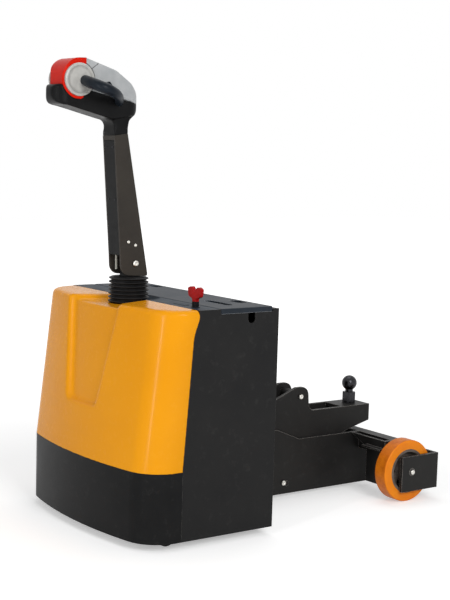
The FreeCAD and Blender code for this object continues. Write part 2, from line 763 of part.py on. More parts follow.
def hub(label, rim, width, boss, bore, holes, hole_radius, hole_ring, across, along, up):
    """A cast hub: rim, dished web with lightening holes, and a boss bored for its axle."""
    body = new_body(label)
    section = sketch_on(body, "XZ_Plane")
    half = f"(0.5 * {width})"
    shape = [
        (f"-1 * {half}", f"{rim} - 9"),
        (f"-1 * {half}", rim),
        (half, rim),
        (half, f"{rim} - 9"),
        ("5", f"{rim} - 14", "5"),
        ("5", f"{bore} + 16", "6"),
        (boss, f"{bore} + 13"),
        (boss, bore),
        (f"-1 * {boss}", bore),
        (f"-1 * {boss}", f"{bore} + 13"),
        ("-5", f"{bore} + 16", "6"),
        ("-5", f"{rim} - 14", "5"),
    ]
    outline(section, list(reversed(shape)))
    turned(body, section)
    hole = sketch_on(body, "YZ_Plane", f"-1 * {half}")
    circle(hole, hole_ring, "0", hole_radius)
    drilled = pocket(body, hole, width, backward=True)
    ring_of_holes = body.newObject("PartDesign::PolarPattern", f"{label}_holes")
    ring_of_holes.Originals = [drilled]
    ring_of_holes.Axis = (next(f for f in body.Origin.OriginFeatures if f.Role == "X_Axis"), [""])
    ring_of_holes.Angle = 360
    ring_of_holes.Occurrences = holes
    body.Tip = ring_of_holes
    doc.recompute()
    finish(body, label, across, along, up)


for name, sign in (("right", 1), ("left", -1)):
    centre = (f"{sign} * wheel_place", "wheelbase", "wheel_radius")
    tyre(f"rear_tyre_{name}", "wheel_radius", "rim_radius", "wheel_width", "5", *centre)
    hub(
        f"rear_hub_{name}",
        "rim_radius",
        "wheel_width",
        f"(wheel_width / 2 + wheel_gap - 5.5)",
        "(axle_radius + running_gap)",
        6,
        "7",
        "43",
        *centre,
    )

drive_centre = ("0", "0", "drive_radius")
tyre("drive_tyre", "drive_radius", "drive_hub_radius", "drive_width", "6", *drive_centre)
drive_bore = "(15 + running_gap)"
drive_half = "(drive_width / 2)"
hub("drive_hub", "drive_hub_radius", "drive_width", drive_half, drive_bore, 6, "8", "50", *drive_centre)

# --- rear frame: low plates, cross beam, wheel brackets and axles -----------------------------

for name, sign in (("right", 1), ("left", -1)):
    label = f"frame_plate_{name}"
    corners = [
        ("body_reach", "frame_foot"),
        ("beam_place + 55", "frame_foot"),
        ("beam_place + 55", "beam_foot"),
        ("beam_place", "beam_foot"),
        ("beam_place", "beam_head"),
        ("body_reach + 331", "beam_head"),
        ("body_reach + 240", "beam_head + 38"),
        ("body_reach", "beam_head + 38"),
    ]
    offset = "hitch_half" if sign > 0 else f"-1 * {FRAME_SIDE}"
    body = plate(label, "YZ_Plane", corners, "frame_wall", offset)
    head = sketch_on(body, "YZ_Plane", FRAME_SIDE if sign > 0 else f"-1 * {FRAME_SIDE}")
    circle(head, "body_reach + 283", "frame_foot + 34", "bolt_radius")
    pad(body, head, "bolt_head", backward=sign < 0)
    finish(body, label)

beam = plate(
    "rear_beam",
    "YZ_Plane",
    box_corners("beam_place", "beam_foot", "beam_place + beam_depth", "beam_head"),
    f"2 * ({PLATE_IN} - bracket_wall)",
    both_ways=True,
)
beam_bore = sketch_on(beam, "YZ_Plane")
outline(
    beam_bore,
    box_corners(
        "beam_place + beam_wall",
        "beam_foot + beam_wall",
        "beam_place + beam_depth - beam_wall",
        "beam_head - beam_wall",
    ),
)
pocket(beam, beam_bore, "4 * wheel_place", both_ways=True)
finish(beam, "rear_beam")

for name, sign in (("right", 1), ("left", -1)):
    label = f"wheel_bracket_{name}"

    def across(rule):
        return f"{sign} * ({rule})"

    plan = [
        (across(f"{PLATE_IN} - bracket_wall"), "brace_place"),
        (across(PLATE_IN), "brace_place"),
        (across(PLATE_IN), "frame_reach - bracket_wall + 2"),
        (across(PLATE_OUT), "frame_reach - bracket_wall + 2"),
        (across(PLATE_OUT), "wheelbase - 42"),
        (across(f"{PLATE_OUT} + bracket_wall"), "wheelbase - 42"),
        (across(f"{PLATE_OUT} + bracket_wall"), "frame_reach"),
        (across(f"{PLATE_IN} - bracket_wall"), "frame_reach"),
    ]
    body = plate(label, "XY_Plane", plan, "bracket_head - bracket_foot", "bracket_foot")
    brace = sketch_on(body, "XZ_Plane", "-1 * brace_place")
    brace_shape = [
        (across(FRAME_SIDE), "beam_head"),
        (across(f"{FRAME_SIDE} + 78"), "beam_head - 35"),
        (across(f"{FRAME_SIDE} + 78"), "bracket_foot + 6"),
        (across(PLATE_IN), "bracket_foot + 6"),
        (across(PLATE_IN), "beam_head"),
    ]
    outline(brace, brace_shape)
    pad(body, brace, "bracket_wall - 2", backward=True)
    ledge = sketch_on(body, "XY_Plane", "beam_head - 30")
    outline(
        ledge,
        box_corners(
            across(f"{FRAME_SIDE} + 78"), "brace_place - 22", across(PLATE_IN), "brace_place + 2"
        ),
    )
    pad(body, ledge, "6")
    gap_tie = sketch_on(body, "XY_Plane", "beam_foot")
    outline(
        gap_tie,
        box_corners(
            across(f"{PLATE_IN} - bracket_wall"), "brace_place", across(PLATE_IN), "beam_place + beam_depth"
        ),
    )
    pad(body, gap_tie, "beam_head - beam_foot")
    bore = sketch_on(body, "YZ_Plane", across(f"{PLATE_IN} - 20"))
    circle(bore, "wheelbase", "wheel_radius", "axle_radius")
    pocket(body, bore, "wheel_width + 60", backward=sign > 0)
    finish(body, label)

    axle = new_body(f"rear_axle_{name}")
    shaft = sketch_on(axle, "XZ_Plane")
    reach = f"(wheel_width / 2 + wheel_gap + bracket_wall)"
    shape = [
        (f"-1 * {sign} * ({reach} + 3)", "0"),
        (f"{sign} * ({reach} + bolt_head)", "0"),
        (f"{sign} * ({reach} + bolt_head)", "bolt_radius"),
        (f"{sign} * {reach}", "bolt_radius"),
        (f"{sign} * {reach}", "axle_radius"),
        (f"-1 * {sign} * ({reach} + 3)", "axle_radius"),
    ]
    outline(shaft, shape)
    turned(axle, shaft)
    finish(axle, f"rear_axle_{name}", f"{sign} * wheel_place", "wheelbase", "wheel_radius")

# --- rear frame: hitch ------------------------------------------------------------------------

hitch = plate(
    "hitch_frame",
    "YZ_Plane",
    [
        ("body_reach", "frame_foot + 90"),
        ("ear_place", "frame_foot + 90"),
        ("hitch_reach - 97", "hitch_head - 80"),
        ("hitch_reach", "hitch_head - 55"),
        ("hitch_reach", "hitch_head"),
        ("ear_place + ear_radius + 6", "hitch_head", "22"),
        ("ear_place + ear_radius", "ear_height + ear_radius", "ear_radius - 2"),
        ("ear_place - ear_radius * 0.62", "ear_height + ear_radius", "14"),
        ("body_reach", "ear_height - 100"),
    ],
    "2 * hitch_half",
    both_ways=True,
)
hitch_gap = sketch_on(hitch, "YZ_Plane")
outline(
    hitch_gap,
    [
        ("body_reach - 10", "0"),
        ("hitch_reach - hitch_wall", "0"),
        ("hitch_reach - hitch_wall", "hitch_head - 12"),
        ("hitch_reach - 117", "hitch_head - 12"),
        ("hitch_reach - 117", "ear_height + 60"),
        ("body_reach - 10", "ear_height + 60"),
    ],
)
pocket(hitch, hitch_gap, "2 * (hitch_half - hitch_wall)", both_ways=True)
ear_bore = sketch_on(hitch, "YZ_Plane")
circle(ear_bore, "ear_place", "ear_height", "pin_radius")
pocket(hitch, ear_bore, "3 * hitch_half", both_ways=True)
ball_bore = sketch_on(hitch, "XY_Plane", "hitch_head - 20")
circle(ball_bore, "0", "ball_place", "11")
pocket(hitch, ball_bore, "40", backward=True)
finish(hitch, "hitch_frame")

cross_pin = new_body("hitch_pin")
pin_section = sketch_on(cross_pin, "XZ_Plane")
outline(
    pin_section,
    [
        ("-1 * (hitch_half + bolt_head)", "0"),
        ("hitch_half + bolt_head", "0"),
        ("hitch_half + bolt_head", "bolt_radius"),
        ("hitch_half", "bolt_radius"),
        ("hitch_half", "pin_radius"),
        ("hitch_half - hitch_wall", "pin_radius"),
        ("hitch_half - hitch_wall", "2 * pin_radius"),
        ("hitch_wall - hitch_half", "2 * pin_radius"),
        ("hitch_wall - hitch_half", "pin_radius"),
        ("-1 * hitch_half", "pin_radius"),
        ("-1 * hitch_half", "bolt_radius"),
        ("-1 * (hitch_half + bolt_head)", "bolt_radius"),
    ],
)
turned(cross_pin, pin_section)
finish(cross_pin, "hitch_pin", "0", "ear_place", "ear_height")

ball = new_body("tow_ball")
post = sketch_on(ball, "XY_Plane")
half_post = "post_width / 2"
outline(
    post,
    [
        (f"-1 * {half_post}", f"6 - {half_post}"),
        (f"6 - {half_post}", f"-1 * {half_post}"),
        (f"{half_post} - 6", f"-1 * {half_post}"),
        (half_post, f"6 - {half_post}"),
        (half_post, f"{half_post} - 6"),
        (f"{half_post} - 6", half_post),
        (f"6 - {half_post}", half_post),
        (f"-1 * {half_post}", f"{half_post} - 6"),
    ],
)
pad(ball, post, "ball_height - hitch_head - ball_radius - 5")
neck = sketch_on(ball, "XZ_Plane")
outline(
    neck,
    [
        ("0", "-30"),
        ("17", "-30"),
        ("17", "-12"),
        ("11", "-12"),
        ("11", "1"),
        ("0", "1"),
    ],
)
turned(ball, neck, "V_Axis")
globe = sketch_on(ball, "XZ_Plane")
lift = "(ball_height - hitch_head)"
foot_angle = math.asin(13 / value("ball_radius"))
globe_centre = Vector(0, value(lift), 0)
globe_radius = value("ball_radius")
globe_rim = Part.Circle(globe_centre, Vector(0, 0, 1), globe_radius)
globe_foot = Vector(13, value(lift) - globe_radius * math.cos(foot_angle), 0)
globe_top = Vector(0, value(lift) + globe_radius, 0)
neck_foot = Vector(13, value(lift) - globe_radius - 6, 0)
axis_foot = Vector(0, neck_foot.y, 0)
for shape in (
    Part.ArcOfCircle(globe_rim, foot_angle - math.pi / 2, math.pi / 2),
    Part.LineSegment(globe_top, axis_foot),
    Part.LineSegment(axis_foot, neck_foot),
    Part.LineSegment(neck_foot, globe_foot),
):
    globe.addGeometry(shape, False)
for first, second in ((0, 1), (1, 2), (2, 3), (3, 0)):
    globe.addConstraint(Sketcher.Constraint("Coincident", first, 2, second, 1))
fix_point(globe, 0, 3, "0", lift)
fix_radius(globe, 0, "ball_radius")
fix_point(globe, 1, 2, "0", f"{lift} - ball_radius - 6")
fix_point(globe, 2, 2, "13", f"{lift} - ball_radius - 6")
globe.addConstraint(Sketcher.Constraint("Vertical", 3))
globe.addConstraint(Sketcher.Constraint("PointOnObject", 0, 2, -2))
turned(ball, globe, "V_Axis")
finish(ball, "tow_ball", "0", "ball_place", "hitch_head")

# --- stabiliser casters -----------------------------------------------------------------------

for name, sign in (("right", 1), ("left", -1)):

    def across(rule):
        return f"{sign} * ({rule})"

    shelf = plate(
        f"caster_shelf_{name}",
        "XY_Plane",
        [
            (across("caster_place - 60"), "-75"),
            (across(f"{INSIDE} - 14"), "-75", "20"),
            (across(f"{INSIDE} - 14"), "2 - seam_foot"),
            (across(INSIDE), "2 - seam_foot"),
            (across(INSIDE), "60"),
            (across("caster_place - 60"), "60"),
        ],
        "6",
        "shelf_height",
    )
    collar = sketch_on(shelf, "XY_Plane", "shelf_height - 7.7")
    circle(collar, across("caster_place"), "-1 * caster_setback", "22")
    pad(shelf, collar, "7.7")
    stem_hole = sketch_on(shelf, "XY_Plane", "shelf_height - 20")
    circle(stem_hole, across("caster_place"), "-1 * caster_setback", "8 + running_gap")
    pocket(shelf, stem_hole, "40", backward=True)
    finish(shelf, f"caster_shelf_{name}")

    fork = new_body(f"caster_fork_{name}")
    cheek = "(caster_width / 2 + 3)"
    bridge = "(shelf_height - 8)"
    front = sketch_on(fork, "YZ_Plane")
    outline(
        front,
        [
            ("-1 * caster_trail - 11", "caster_radius - 11", "10"),
            ("-1 * caster_trail + 11", "caster_radius - 11", "10"),
            ("20", f"{bridge} - 8"),
            ("20", bridge),
            ("-20", bridge),
            ("-30", f"{bridge} - 14"),
        ],
    )
    pad(fork, front, f"2 * ({cheek} + 3)", both_ways=True)
    slot = sketch_on(fork, "YZ_Plane")
    outline(slot, box_corners("-80", "0", "60", f"{bridge} - 5"))
    pocket(fork, slot, f"2 * {cheek}", both_ways=True)
    stem = sketch_on(fork, "XY_Plane", f"{bridge} - 3")
    circle(stem, "0", "0", "8")
    pad(fork, stem, "22")
    pin_bore = sketch_on(fork, "YZ_Plane")
    circle(pin_bore, "-1 * caster_trail", "caster_radius", "4")
    pad(fork, pin_bore, f"2 * ({cheek} + 5)", both_ways=True)
    finish(fork, f"caster_fork_{name}", across("caster_place"), "-1 * caster_setback", "0")

    roller = new_body(f"caster_wheel_{name}")
    tread = sketch_on(roller, "XZ_Plane")
    outline(
        tread,
        [
            ("-0.5 * caster_width", "4 + running_gap"),
            ("0.5 * caster_width", "4 + running_gap"),
            ("0.5 * caster_width", "caster_radius", "4"),
            ("-0.5 * caster_width", "caster_radius", "4"),
        ],
    )
    turned(roller, tread)
    finish(
        roller,
        f"caster_wheel_{name}",
        across("caster_place"),
        "-1 * caster_setback - caster_trail",
        "caster_radius",
    )

# --- drive unit and steering column -----------------------------------------------------------

gearbox = new_body("drive_gearbox")
cheek = sketch_on(gearbox, "YZ_Plane", f"-1 * ({GEARBOX_IN} + 28)")
outline(
    cheek,
    [
        ("-55", "drive_radius - 58", "50"),
        ("55", "drive_radius - 58", "50"),
        ("55", "mount_height - 36"),
        ("-55", "mount_height - 36"),
    ],
)
pad(gearbox, cheek, "28")
flange = sketch_on(gearbox, "XY_Plane", "mount_height - 50")
circle(flange, "0", "0", "neck_radius + 35")
pad(gearbox, flange, "20")
gear_neck = sketch_on(gearbox, "XY_Plane", "mount_height - 32")
circle(gear_neck, "0", "0", "neck_radius")
pad(gearbox, gear_neck, "mount_wall + 32.5")
stub = sketch_on(gearbox, "YZ_Plane", f"-1 * {GEARBOX_IN} - 10")
circle(stub, "0", "drive_radius", "15")
pad(gearbox, stub, f"{GEARBOX_IN} + 10 + drive_width / 2 - 5")
finish(gearbox, "drive_gearbox")

motor = new_body("drive_motor")
motor_can = sketch_on(motor, "XY_Plane")
circle(motor_can, "0", "0", "neck_radius + 12")
pad(motor, motor_can, "190")
finish(motor, "drive_motor", up="mount_height + mount_wall + 0.5")

column = new_body("steering_column")
column_foot = "(mount_height + mount_wall + 190.5)"
tube = sketch_on(column, "XY_Plane", column_foot)
circle(tube, "0", "0", "column_radius")
pad(column, tube, f"pivot_height - 48 - {column_foot}")
flange_foot = sketch_on(column, "XY_Plane", column_foot)
circle(flange_foot, "0", "0", "column_radius + 22")
pad(column, flange_foot, "12")
tongue = sketch_on(column, "YZ_Plane")
outline(
    tongue,
    [
        ("-20", "pivot_height - 60"),
        ("20", "pivot_height - 60"),
        ("20", "pivot_height + 20", "19"),
        ("-20", "pivot_height + 20", "19"),
    ],
)
pad(column, tongue, "16", both_ways=True)
pivot_bore = sketch_on(column, "YZ_Plane")
circle(pivot_bore, "0", "pivot_height", "pivot_radius + running_gap")
pocket(column, pivot_bore, "60", both_ways=True)
finish(column, "steering_column")

# --- tiller arm -------------------------------------------------------------------------------

arm = plate(
    "tiller_arm",
    "YZ_Plane",
    [
        ("-47", "pivot_height - 33", "30"),
        ("44", "pivot_height - 38", "6"),
        ("-34", "pivot_height + 375"),
        ("-77", "pivot_height + 368"),
        ("-50", "pivot_height + 21", "200"),
    ],
    "2 * arm_half",
    both_ways=True,
)
arm_channel = sketch_on(arm, "YZ_Plane")
outline(
    arm_channel,
    [
        ("-120", "pivot_height - 80"),
        ("43", "pivot_height - 80"),
        ("-39", "pivot_height + 355"),
        ("-120", "pivot_height + 355"),
    ],
)
pocket(arm, arm_channel, f"2 * {ARM_INSIDE}", both_ways=True)
arm_bore = sketch_on(arm, "YZ_Plane")
circle(arm_bore, "0", "pivot_height", "pivot_radius")
pocket(arm, arm_bore, "3 * arm_half", both_ways=True)
finish(arm, "tiller_arm")

arm_front = plate(
    "tiller_front_plate",
    "YZ_Plane",
    [
        ("-50.5", "pivot_height + 24"),
        ("-46.5", "pivot_height + 24"),
        ("-71.5", "pivot_height + 354"),
        ("-75.5", "pivot_height + 354"),
    ],
    f"2 * {ARM_INSIDE}",
    both_ways=True,
)
finish(arm_front, "tiller_front_plate")

pin = new_body("tiller_pin")
pin_profile = sketch_on(pin, "XZ_Plane")
outline(
    pin_profile,
    [
        ("-1 * (arm_half + bolt_head)", "0"),
        ("arm_half + bolt_head", "0"),
        ("arm_half + bolt_head", "bolt_radius"),
        ("arm_half", "bolt_radius"),
        ("arm_half", "pivot_radius"),
        (ARM_INSIDE, "pivot_radius"),
        (ARM_INSIDE, "pivot_radius + 5"),
        ("8.3", "pivot_radius + 5"),
        ("8.3", "pivot_radius"),
        ("-8.3", "pivot_radius"),
        ("-8.3", "pivot_radius + 5"),
        (f"-1 * {ARM_INSIDE}", "pivot_radius + 5"),
        (f"-1 * {ARM_INSIDE}", "pivot_radius"),
        ("-1 * arm_half", "pivot_radius"),
        ("-1 * arm_half", "bolt_radius"),
        ("-1 * (arm_half + bolt_head)", "bolt_radius"),
    ],
)
turned(pin, pin_profile)
finish(pin, "tiller_pin", "0", "0", "pivot_height")


def smooth_path(points, radius):
    """Straight runs joined by tangent arcs."""
    edges = []
    start = points[0]
    for index in range(1, len(points) - 1):
        here = points[index]
        back = (points[index - 1] - here).normalize()
        on = (points[index + 1] - here).normalize()
        half_angle = back.getAngle(on) / 2
        reach = radius / math.tan(half_angle)
        first = here + back * reach
        last = here + on * reach
        centre = here + (back + on).normalize() * (radius / math.sin(half_angle))
        middle = centre + (here - centre).normalize() * radius
        edges.append(Part.LineSegment(start, first).toShape())
        edges.append(Part.Arc(first, middle, last).toShape())
        start = last
    edges.append(Part.LineSegment(start, points[-1]).toShape())
    return Part.Wire(edges)


def swept_tube(points, bend, radius):
    """A round bar along a path of runs and bends."""
    path = smooth_path(points, bend)
    direction = (points[1] - points[0]).normalize()
    ring = Part.Wire(Part.Circle(points[0], direction, radius).toShape())
    return path.makePipeShell([ring], True, False)


pivot_z = value("pivot_height")
cable_solids = []
for across_x in (17, -17):
    route = [
        Vector(across_x, -55, pivot_z + 354.7),
        Vector(across_x, -34, pivot_z + 60),
        Vector(across_x, -33, pivot_z - 20),
    ]
    cable_solids.append(swept_tube(route, 300, 3.5))
cables = doc.addObject("Part::Feature", "tiller_cables")
cables.Shape = Part.makeCompound(cable_solids)
finish(cables, "tiller_cables")

# --- tiller head ------------------------------------------------------------------------------

# The head's side outlines are written from the tilt pivot, and its plan is round in front.


def head_body(label, profiles):
    """Pads of side outlines."""
    body = new_body(f"{label}_body")
    for corners, width in profiles:
        sketch = sketch_on(body, "YZ_Plane")
        outline(sketch, [(corner[0], f"pivot_height + {corner[1]}", *corner[2:]) for corner in corners])
        pad(body, sketch, width, both_ways=True)
    return body


def trimmed(label, body, front, rear, corner_round):
    """A body trimmed to a plan with rounded corners, from a front place to a rear one."""
    plan_body = new_body(f"{label}_plan")
    plan = sketch_on(plan_body, "XY_Plane", "pivot_height")
    corners = box_corners("-1 * button_half", front, "button_half", rear)
    outline(plan, [(*corner, corner_round) for corner in corners])
    pad(plan_body, plan, "cover_height")
    form = doc.addObject("Part::MultiCommon", label)
    form.Shapes = [body, plan_body]
    doc.recompute()
    return form


HEAD_PLAN = ("-2 - head_reach", "5", "head_round")


neck_outline = [
    ("-77", "368.3"),
    ("-34", "375.3"),
    ("-28", "412", "14"),
    ("3", "440", "10"),
    ("-2", "456"),
    ("-120", "472"),
    ("-124", "422"),
    ("-77", "409", "22"),
]
hood_outline = [
    ("-90", "413", "20"),
    ("-14", "427", "8"),
    ("4", "444", "8"),
    ("0", "458"),
    ("-146", "486"),
    ("-240", "505"),
    ("-1 * head_reach", "504", "16"),
    ("-1 * head_reach", "453", "28"),
    ("-228", "446", "20"),
]
casing_body = head_body("casing", [(neck_outline, "2 * arm_half"), (hood_outline, "2 * button_half")])
casing_form = trimmed("casing_form", casing_body, *HEAD_PLAN)

# The red button is round in front and sits in a cup in the casing.


def button_outline(room):
    """The button's side outline, drawn out all round by some room."""
    return [
        (f"{room} - 179", f"490 - {room}"),
        (f"{room} - 179", f"580 + {room}"),
        (f"-249 - {room}", f"578 + {room}", f"52 + {room}"),
        (f"-249 - {room}", f"466 - {room}", f"46 + {room}"),
        (f"-189 + {room}", f"466 - {room}", "10"),
    ]


button_body = head_body("button", [(button_outline("0"), "2 * button_half")])
button = trimmed("belly_button", button_body, "-249", "0", "button_round")
finish(button, "belly_button")
cup = head_body("casing_cup", [(button_outline("0.2"), "2 * button_half + 2")])
casing = cut("head_casing", casing_form, cup)
finish(casing, "head_casing")

cover = new_body("cover_shell")
cover_side = sketch_on(cover, "YZ_Plane")
cover_outline = [
    ("0", "458.3"),
    ("4", "470", "14"),
    ("-28", "517", "40"),
    ("-78", "551", "60"),
    ("-178.7", "581"),
    ("-178.7", "492.9"),
    ("-146", "486.3"),
]
outline(cover_side, [(corner[0], f"pivot_height + {corner[1]}", *corner[2:]) for corner in cover_outline])
pad(cover, cover_side, "2 * button_half", both_ways=True)


def on_crown(edge):
    middle = edge.CenterOfMass
    flat = edge.BoundBox.XLength < 0.1
    return flat and middle.z > value("pivot_height") + 488 and middle.y > -178


round_edges(cover, "head_edge", on_crown)
shell = trimmed("head_cover", cover, *HEAD_PLAN)
finish(shell, "head_cover")

for name, sign in (("right", 1), ("left", -1)):
    wide = value("grip_half")
    side_x = value("button_half")
    head_y = value(HEAD_ALONG)
    head_z = value(HEAD_UP)
    route = [
        Vector(sign * side_x, head_y + 22, head_z - 2),
        Vector(sign * wide, head_y + 14, head_z - 8),
        Vector(sign * side_x, head_y + 146, head_z - 46),
    ]
    head_block = Part.makeBox(2 * side_x, 400, 400, Vector(-side_x, -300, value("pivot_height") + 350))
    loop = doc.addObject("Part::Feature", f"handle_{name}")
    loop.Shape = swept_tube(route, 24, value("grip_radius")).cut(head_block)

    disc = new_body(f"knob_{name}_disc")
    disc_section = sketch_on(disc, "XZ_Plane")
    corners = [
        ("0", "0"),
        (f"{sign} * (knob_wall - 6)", "0"),
        (f"{sign} * (knob_wall - 5)", "knob_radius - 12", "14"),
        (f"{sign} * knob_wall", "knob_radius - 7"),
        (f"{sign} * knob_wall", "knob_radius", "3"),
        ("0", "knob_radius"),
    ]
    outline(disc_section, corners)
    turned(disc, disc_section)
    disc.setExpression("Placement.Base.x", bound(f"{sign} * button_half"))
    disc.setExpression("Placement.Base.y", bound(HEAD_ALONG))
    disc.setExpression("Placement.Base.z", bound(HEAD_UP))
    passage = doc.addObject("Part::Feature", f"knob_{name}_passage")
    passage.Shape = loop.Shape
    knob = cut(f"knob_{name}", disc, passage)
    finish(loop, f"handle_{name}")
    finish(knob, f"knob_{name}")

rocker = plate(
    "rocker",
    "YZ_Plane",
    [
        ("-125", "pivot_height + 504", "2"),
        ("-92", "pivot_height + 498", "2"),
        ("-108", "pivot_height + 519", "3"),
    ],
    "9",
    "button_half",
)
finish(rocker, "rocker")

# --- checks and files -------------------------------------------------------------------------

doc.recompute()
for item in doc.Objects:
    bad = {"Invalid", "Error"} & set(item.State)
    assert not bad, f"{item.Name}: {item.State}"
os.makedirs("parts", exist_ok=True)
for item in parts:
    shape = item.Shape
    assert not shape.isNull() and shape.isValid(), f"{item.Label} has no valid shape"
    shape.exportStep(f"parts/{item.Label}.step")
    print(item.Label, len(shape.Solids), round(shape.Volume))
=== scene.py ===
import bpy
import math
from mathutils import Matrix, Vector
from mathutils.bvhtree import BVHTree


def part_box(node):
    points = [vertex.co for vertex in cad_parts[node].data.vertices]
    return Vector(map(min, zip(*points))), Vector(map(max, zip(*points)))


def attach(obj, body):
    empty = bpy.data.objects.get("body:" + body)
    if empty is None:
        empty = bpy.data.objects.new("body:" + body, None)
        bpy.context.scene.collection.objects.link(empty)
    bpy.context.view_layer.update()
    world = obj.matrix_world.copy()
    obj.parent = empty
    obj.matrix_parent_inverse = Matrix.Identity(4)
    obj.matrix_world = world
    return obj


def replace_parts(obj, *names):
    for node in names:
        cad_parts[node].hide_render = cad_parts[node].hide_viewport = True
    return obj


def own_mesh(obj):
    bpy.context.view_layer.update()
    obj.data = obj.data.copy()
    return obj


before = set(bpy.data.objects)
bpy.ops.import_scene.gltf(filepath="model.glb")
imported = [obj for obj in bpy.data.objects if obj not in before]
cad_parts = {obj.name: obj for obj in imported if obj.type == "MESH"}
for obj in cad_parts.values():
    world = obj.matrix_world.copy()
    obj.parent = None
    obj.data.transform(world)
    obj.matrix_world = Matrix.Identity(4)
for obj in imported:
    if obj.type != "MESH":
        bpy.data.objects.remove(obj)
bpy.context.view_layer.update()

# A walk-behind electric tow tractor. The row frame has X to the right as seen from the tiller end, Y from
# the tiller to the tow ball and Z up, in metres.


# --- material nodes -----------------------------------------------------------------------------


# The sockets of a colour Mix node, which shares its numbering with the other data types.
MIX_SHARE, MIX_FIRST, MIX_SECOND, MIX_RESULT = 0, 6, 7, 2


class Finish:
    """One procedural material, built on a Principled shader over the frame's own coordinates."""

    def __init__(self, name, **constants):
        self.material = bpy.data.materials.new(name)
        self.material.use_nodes = True
        self.tree = self.material.node_tree
        self.tree.nodes.clear()
        self.shader = self.add("ShaderNodeBsdfPrincipled")
        output = self.add("ShaderNodeOutputMaterial")
        self.tree.links.new(self.shader.outputs["BSDF"], output.inputs["Surface"])
        self.place = self.add("ShaderNodeTexCoord").outputs["Object"]
        self.last_normal = None
        for socket, number in constants.items():
            self.shader.inputs[socket.replace("_", " ")].default_value = number

    def add(self, kind, inputs=(), **settings):
        node = self.tree.nodes.new(kind)
        for key, setting in settings.items():
            setattr(node, key, setting)
        for socket, source in dict(inputs).items():
            self.feed(node.inputs[socket], source)
        return node

    def feed(self, socket, source):
        if isinstance(source, bpy.types.NodeSocket):
            self.tree.links.new(source, socket)
        else:
            socket.default_value = source

    def noise(self, scale, detail=3.0, roughness=0.55, stretch=None):
        vector = self.place
        if stretch is not None:
            stretched = self.add("ShaderNodeMapping", {"Vector": self.place, "Scale": stretch})
            vector = stretched.outputs["Vector"]
        numbers = {"Vector": vector, "Scale": scale, "Detail": detail, "Roughness": roughness}
        return self.add("ShaderNodeTexNoise", numbers).outputs["Fac"]

    def cells(self, scale, smooth):
        """Rounded pebbles."""
        node = self.add("ShaderNodeTexVoronoi", {"Vector": self.place, "Scale": scale}, feature="SMOOTH_F1")
        node.inputs["Smoothness"].default_value = smooth
        return node.outputs["Distance"]

    def spread(self, source, low, high, to_low=0.0, to_high=1.0):
        """The source's span from low to high, stretched to a new span and held inside it."""
        numbers = {0: source, 1: low, 2: high, 3: to_low, 4: to_high}
        return self.add("ShaderNodeMapRange", numbers, clamp=True).outputs["Result"]

    def sums(self, operation, first, second=0.0):
        return self.add("ShaderNodeMath", {0: first, 1: second}, operation=operation).outputs[0]

    def blend(self, share, first, second):
        node = self.add("ShaderNodeMix", data_type="RGBA")
        self.feed(node.inputs[MIX_SHARE], share)
        self.feed(node.inputs[MIX_FIRST], first)
        self.feed(node.inputs[MIX_SECOND], second)
        return node.outputs[MIX_RESULT]

    def edges(self, radius):
        """A mask that is 1 along the piece's own outer edges."""
        rounded = self.add("ShaderNodeBevel", {"Radius": radius}, samples=4).outputs["Normal"]
        flat = self.add("ShaderNodeNewGeometry").outputs["Normal"]
        match = self.add("ShaderNodeVectorMath", {0: rounded, 1: flat}, operation="DOT_PRODUCT")
        return self.spread(self.sums("SUBTRACT", 1.0, match.outputs["Value"]), 0.02, 0.25)

    def round_edges(self, radius):
        self.last_normal = self.add("ShaderNodeBevel", {"Radius": radius}, samples=4).outputs["Normal"]

    def bump(self, height, distance, strength):
        node = self.add("ShaderNodeBump", {"Height": height, "Distance": distance, "Strength": strength})
        if self.last_normal is not None:
            self.feed(node.inputs["Normal"], self.last_normal)
        self.last_normal = node.outputs["Normal"]

    def done(self, colour, roughness):
        self.feed(self.shader.inputs["Base Color"], colour)
        self.feed(self.shader.inputs["Roughness"], roughness)
        if self.last_normal is not None:
            self.feed(self.shader.inputs["Normal"], self.last_normal)
        return self.material


def tone(red, green, blue):
    return (red, green, blue, 1.0)


BARE_GREY = tone(0.20, 0.19, 0.18)
DUST = tone(0.045, 0.044, 0.042)


def coated_steel(name, dark, light, rough, wear_and_highlight_share=0.5, specular=0.14, edge=BARE_GREY, edge_patch_floor=0.42):
    """Satin powder coat: a fine pebbled skin, faint blotches and dust, and an edge colour along the edges,
    which is worn paint where it is grey and a painted highlight where it is pale.

    The share argument sets how much of the edge colour shows, and the lower the floor argument is,
    the more of each edge takes it.
    """
    made = Finish(name, Specular_IOR_Level=specular)
    made.round_edges(0.0016)
    blotch = made.noise(5.5, 4.0, 0.6)
    speck = made.noise(640.0, 2.0, 0.5)
    colour = made.blend(made.spread(blotch, 0.35, 0.68), dark, light)
    dust = made.sums("MULTIPLY", made.spread(made.noise(38.0, 6.0, 0.7), 0.56, 0.78), 0.35)
    colour = made.blend(dust, colour, DUST)
    # Edge colour: worn paint where it is grey, and a painted highlight along the edges where it is pale.
    patches = made.spread(made.noise(55.0, 5.0, 0.7), edge_patch_floor, edge_patch_floor + 0.20)
    wear_and_highlight_edges = made.sums("MULTIPLY", made.edges(0.0022), patches)
    colour = made.blend(made.sums("MULTIPLY", wear_and_highlight_edges, wear_and_highlight_share), colour, edge)
    roughness = made.spread(blotch, 0.3, 0.7, rough - 0.06, rough + 0.08)
    made.bump(speck, 0.00016, 0.55)
    made.bump(made.noise(26.0, 2.0), 0.0006, 0.12)
    return made.done(colour, roughness)


